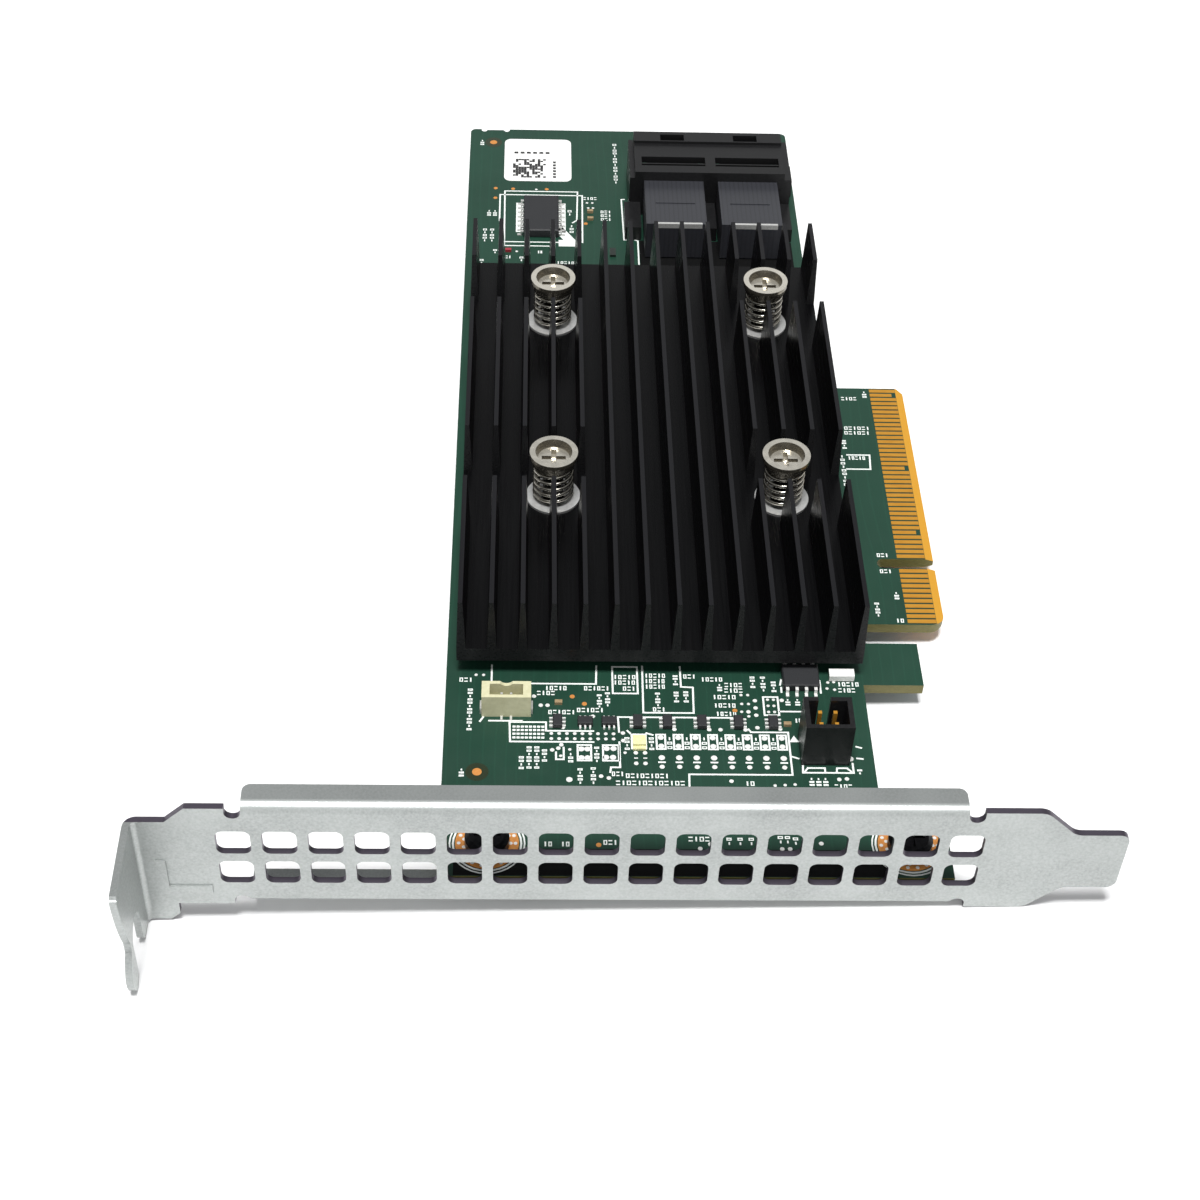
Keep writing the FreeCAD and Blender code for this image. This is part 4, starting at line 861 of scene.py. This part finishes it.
class CARD_OT_painted_shade(bpy.types.Operator):
    """Lays black painted shade on the board: a patch in front of the ports and a strip behind
    the bracket
    """
    bl_idname = "card.dark_seats"
    bl_label = "Painted shade"

    def execute(self, context):
        z0, z1 = print_layer()
        edge = BOARD_LOW[1] / MM
        sink_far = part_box("heatsink")[1][1] / MM
        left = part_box("connector_housing")[0][0] / MM
        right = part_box("connector_housing")[1][0] / MM
        top = z1 - PAINTED_SHADE_DROP
        bm = bmesh.new()
        # painted shade: a black patch between the heatsink and the ports, where the ports'
        # blocks shade the board
        add_slab(bm, left + 2.4, right - 1.0, sink_far + 0.3, 77.4, z0, top)
        # painted shade: a black strip along the board's near edge, in the bracket lip's shade
        add_slab(bm, -67.0, -13.0, edge + 0.1, edge + 4.3, z0, top)
        finish_piece(bm, "painted_shade_patches", "seat_black")
        return {"FINISHED"}


class CARD_OT_label_print(bpy.types.Operator):
    """Prints a generic block pattern and a few bars on the label"""
    bl_idname = "card.label_print"
    bl_label = "Label print"

    def execute(self, context):
        low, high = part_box("label")
        z0, z1 = high[2] / MM - 0.005, high[2] / MM + 0.01
        x0, y0 = low[0] / MM + 1.5, low[1] / MM + 1.0
        bm = bmesh.new()
        cells, side = 12, 0.48
        # a fixed sprinkle, so that the block is the same each time
        for row in range(cells):
            for column in range(cells):
                if sin(row * 12.99 + column * 78.23) * 43758 % 1 < 0.45:
                    continue
                add_slab(bm, x0 + column * side, x0 + column * side + side * 0.96,
                         y0 + row * side, y0 + row * side + side * 0.96, z0, z1)
        for k in range(6):
            add_slab(bm, x0 + 0.2 + k * 1.1, x0 + 0.9 + k * 1.1, y0 + 7.4, y0 + 8.0, z0, z1)
            add_slab(bm, x0 + 7.0, x0 + 7.5, y0 + k * 0.9, y0 + k * 0.9 + 0.6, z0, z1)
        finish_piece(bm, "label_print", "print_black")
        return {"FINISHED"}


class CARD_OT_springs(bpy.types.Operator):
    """Winds the four round-wire springs under the heatsink screws' cups"""
    bl_idname = "card.springs"
    bl_label = "Heatsink springs"

    def execute(self, context):
        low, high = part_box("springs")
        radius = (settings().coil - settings().wire) / 2
        outer = settings().coil / 2
        wire = settings().wire / 2
        bm = bmesh.new()
        steps = int(settings().turns * COIL_STEPS)
        travel = high[2] - low[2] - 2 * wire
        for x in (low[0] + outer, high[0] - outer):
            for y in (low[1] + outer, high[1] - outer):
                start = Vector((x + radius, y, low[2] + wire))
                ring = bmesh.ops.create_circle(bm, cap_ends=True, segments=10, radius=wire,
                                               matrix=Matrix.Translation(start)
                                               @ Matrix.Rotation(pi / 2, 4, "X"))
                face = ring["verts"][0].link_faces[0]
                bmesh.ops.spin(bm, geom=[face] + list(face.edges) + list(face.verts),
                               cent=(x, y, 0), axis=(0, 0, 1),
                               angle=settings().turns * 2 * pi, steps=steps,
                               dvec=(0, 0, travel / steps))
        coils = finish_piece(bm, "round_wire_springs", "spring")
        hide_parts("springs")
        for polygon in coils.data.polygons:
            polygon.use_smooth = True
        return {"FINISHED"}


FLOOR_SIDE = 5.0              # metres
LAMP_TARGET = (-0.03, 0.02, 0)          # middle of the card, metres
LAMPS = (                     # name, place in metres, watts, side in metres
    ("key", (-0.1, -0.4, 2.1), 58.0, 0.5),
    ("back", (0.2, 2.1, 0.9), 2.0, 1.2),
    ("front", (0.1, -2.35, 0.7), 30.0, 3.2))


class CARD_OT_stage(bpy.types.Operator):
    """Sets up the pale floor, the soft light and the camera"""
    bl_idname = "card.stage"
    bl_label = "Stage"

    def execute(self, context):
        floor_place, floor_turn = resting_plane()
        bpy.ops.mesh.primitive_plane_add(size=FLOOR_SIDE, location=floor_place,
                                         rotation=floor_turn)
        floor = context.object
        floor.name = "floor"
        floor.data.materials.append(floor_paint())
        light_world(context.scene)
        for name, place, energy, size in LAMPS:
            lamp = bpy.data.objects.new(name, bpy.data.lights.new(name, "AREA"))
            lamp.data.energy = energy
            lamp.data.size = size
            lamp.location = place
            aim = Vector(LAMP_TARGET) - Vector(place)
            lamp.rotation_euler = aim.to_track_quat("-Z", "Y").to_euler()
            context.scene.collection.objects.link(lamp)
        place_camera(context.scene)
        context.scene.view_settings.view_transform = "Standard"
        return {"FINISHED"}


def floor_paint():
    """White paper sweep, matte: takes soft shadows and meets a white background."""
    material, tree, shader = start_material("Paper sweep, matte", "#f4f4f4", 0.9)
    tree.links.new(mottle(tree, 2.0, 0.86, 0.94), shader.inputs["Roughness"])
    return material


def light_world(scene):
    """An even, plain grey surround."""
    scene.world = bpy.data.worlds.new("Grey surround")
    scene.world.use_nodes = True
    background = scene.world.node_tree.nodes["Background"]
    background.inputs["Color"].default_value = linear("#f4f6f8")
    background.inputs["Strength"].default_value = 0.28


def resting_plane():
    """Centre and turn of the plane that the card lies on: tab's tip, plate's end, a nut."""
    (left, front, low), (right, _, _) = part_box("bracket")
    nuts_low, nuts_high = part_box("back_nuts")
    plate_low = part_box("circuit_board")[1][2] - PLATE_DROP * MM
    tab = Vector((left, front + 1.3 * MM, low))
    plate = Vector((right - TONGUE * MM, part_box("circuit_board")[0][1], plate_low))
    nut = Vector((nuts_high[0], nuts_high[1], nuts_low[2]))
    normal = (plate - tab).cross(nut - tab).normalized()
    return tab, normal.to_track_quat("Z", "Y").to_euler()


def place_camera(scene):
    """A short telephoto from above and in front of the bracket, rolled a little."""
    heading, fall, roll = radians(2.816), radians(45.129), radians(2.534)
    forward = Vector((sin(heading) * cos(fall), cos(heading) * cos(fall), -sin(fall)))
    right = Vector((cos(heading), -sin(heading), 0))
    up = right.cross(forward)
    turned_right = right * cos(roll) + up * sin(roll)
    turned_up = up * cos(roll) - right * sin(roll)
    camera = bpy.data.objects.new("camera", bpy.data.cameras.new("camera"))
    camera.data.sensor_width = 36
    camera.data.lens = 63.44
    camera.matrix_world = Matrix((
        (turned_right.x, turned_up.x, -forward.x, -58.20 * MM),
        (turned_right.y, turned_up.y, -forward.y, -215.79 * MM),
        (turned_right.z, turned_up.z, -forward.z, 209.88 * MM),
        (0, 0, 0, 1)))
    camera.data.clip_start = 0.01
    scene.collection.objects.link(camera)
    scene.camera = camera


class CARD_PT_panel(bpy.types.Panel):
    """Lists the card's sizes, colours and pieces"""
    bl_label = "Controller card"
    bl_space_type = "VIEW_3D"
    bl_region_type = "UI"
    bl_category = "Card"

    def draw(self, context):
        for name in CardSettings.__annotations__:
            self.layout.prop(context.scene.card_settings, name)
        for operator in OPERATORS:
            self.layout.operator(operator.bl_idname)


OPERATORS = (CARD_OT_finishes, CARD_OT_outlines, CARD_OT_lamp_row, CARD_OT_legend,
             CARD_OT_pads, CARD_OT_vias, CARD_OT_ground_marks, CARD_OT_painted_shade,
             CARD_OT_label_print, CARD_OT_springs, CARD_OT_stage)
CLASSES = (CardSettings,) + OPERATORS + (CARD_PT_panel,)


def register():
    for cls in CLASSES:
        bpy.utils.register_class(cls)
    bpy.types.Scene.card_settings = bpy.props.PointerProperty(type=CardSettings)


def unregister():
    del bpy.types.Scene.card_settings
    for cls in reversed(CLASSES):
        bpy.utils.unregister_class(cls)


def main():
    register()
    for operator in OPERATORS:
        group, name = operator.bl_idname.split(".")
        getattr(getattr(bpy.ops, group), name)()


if __name__ == "__main__":
    main()
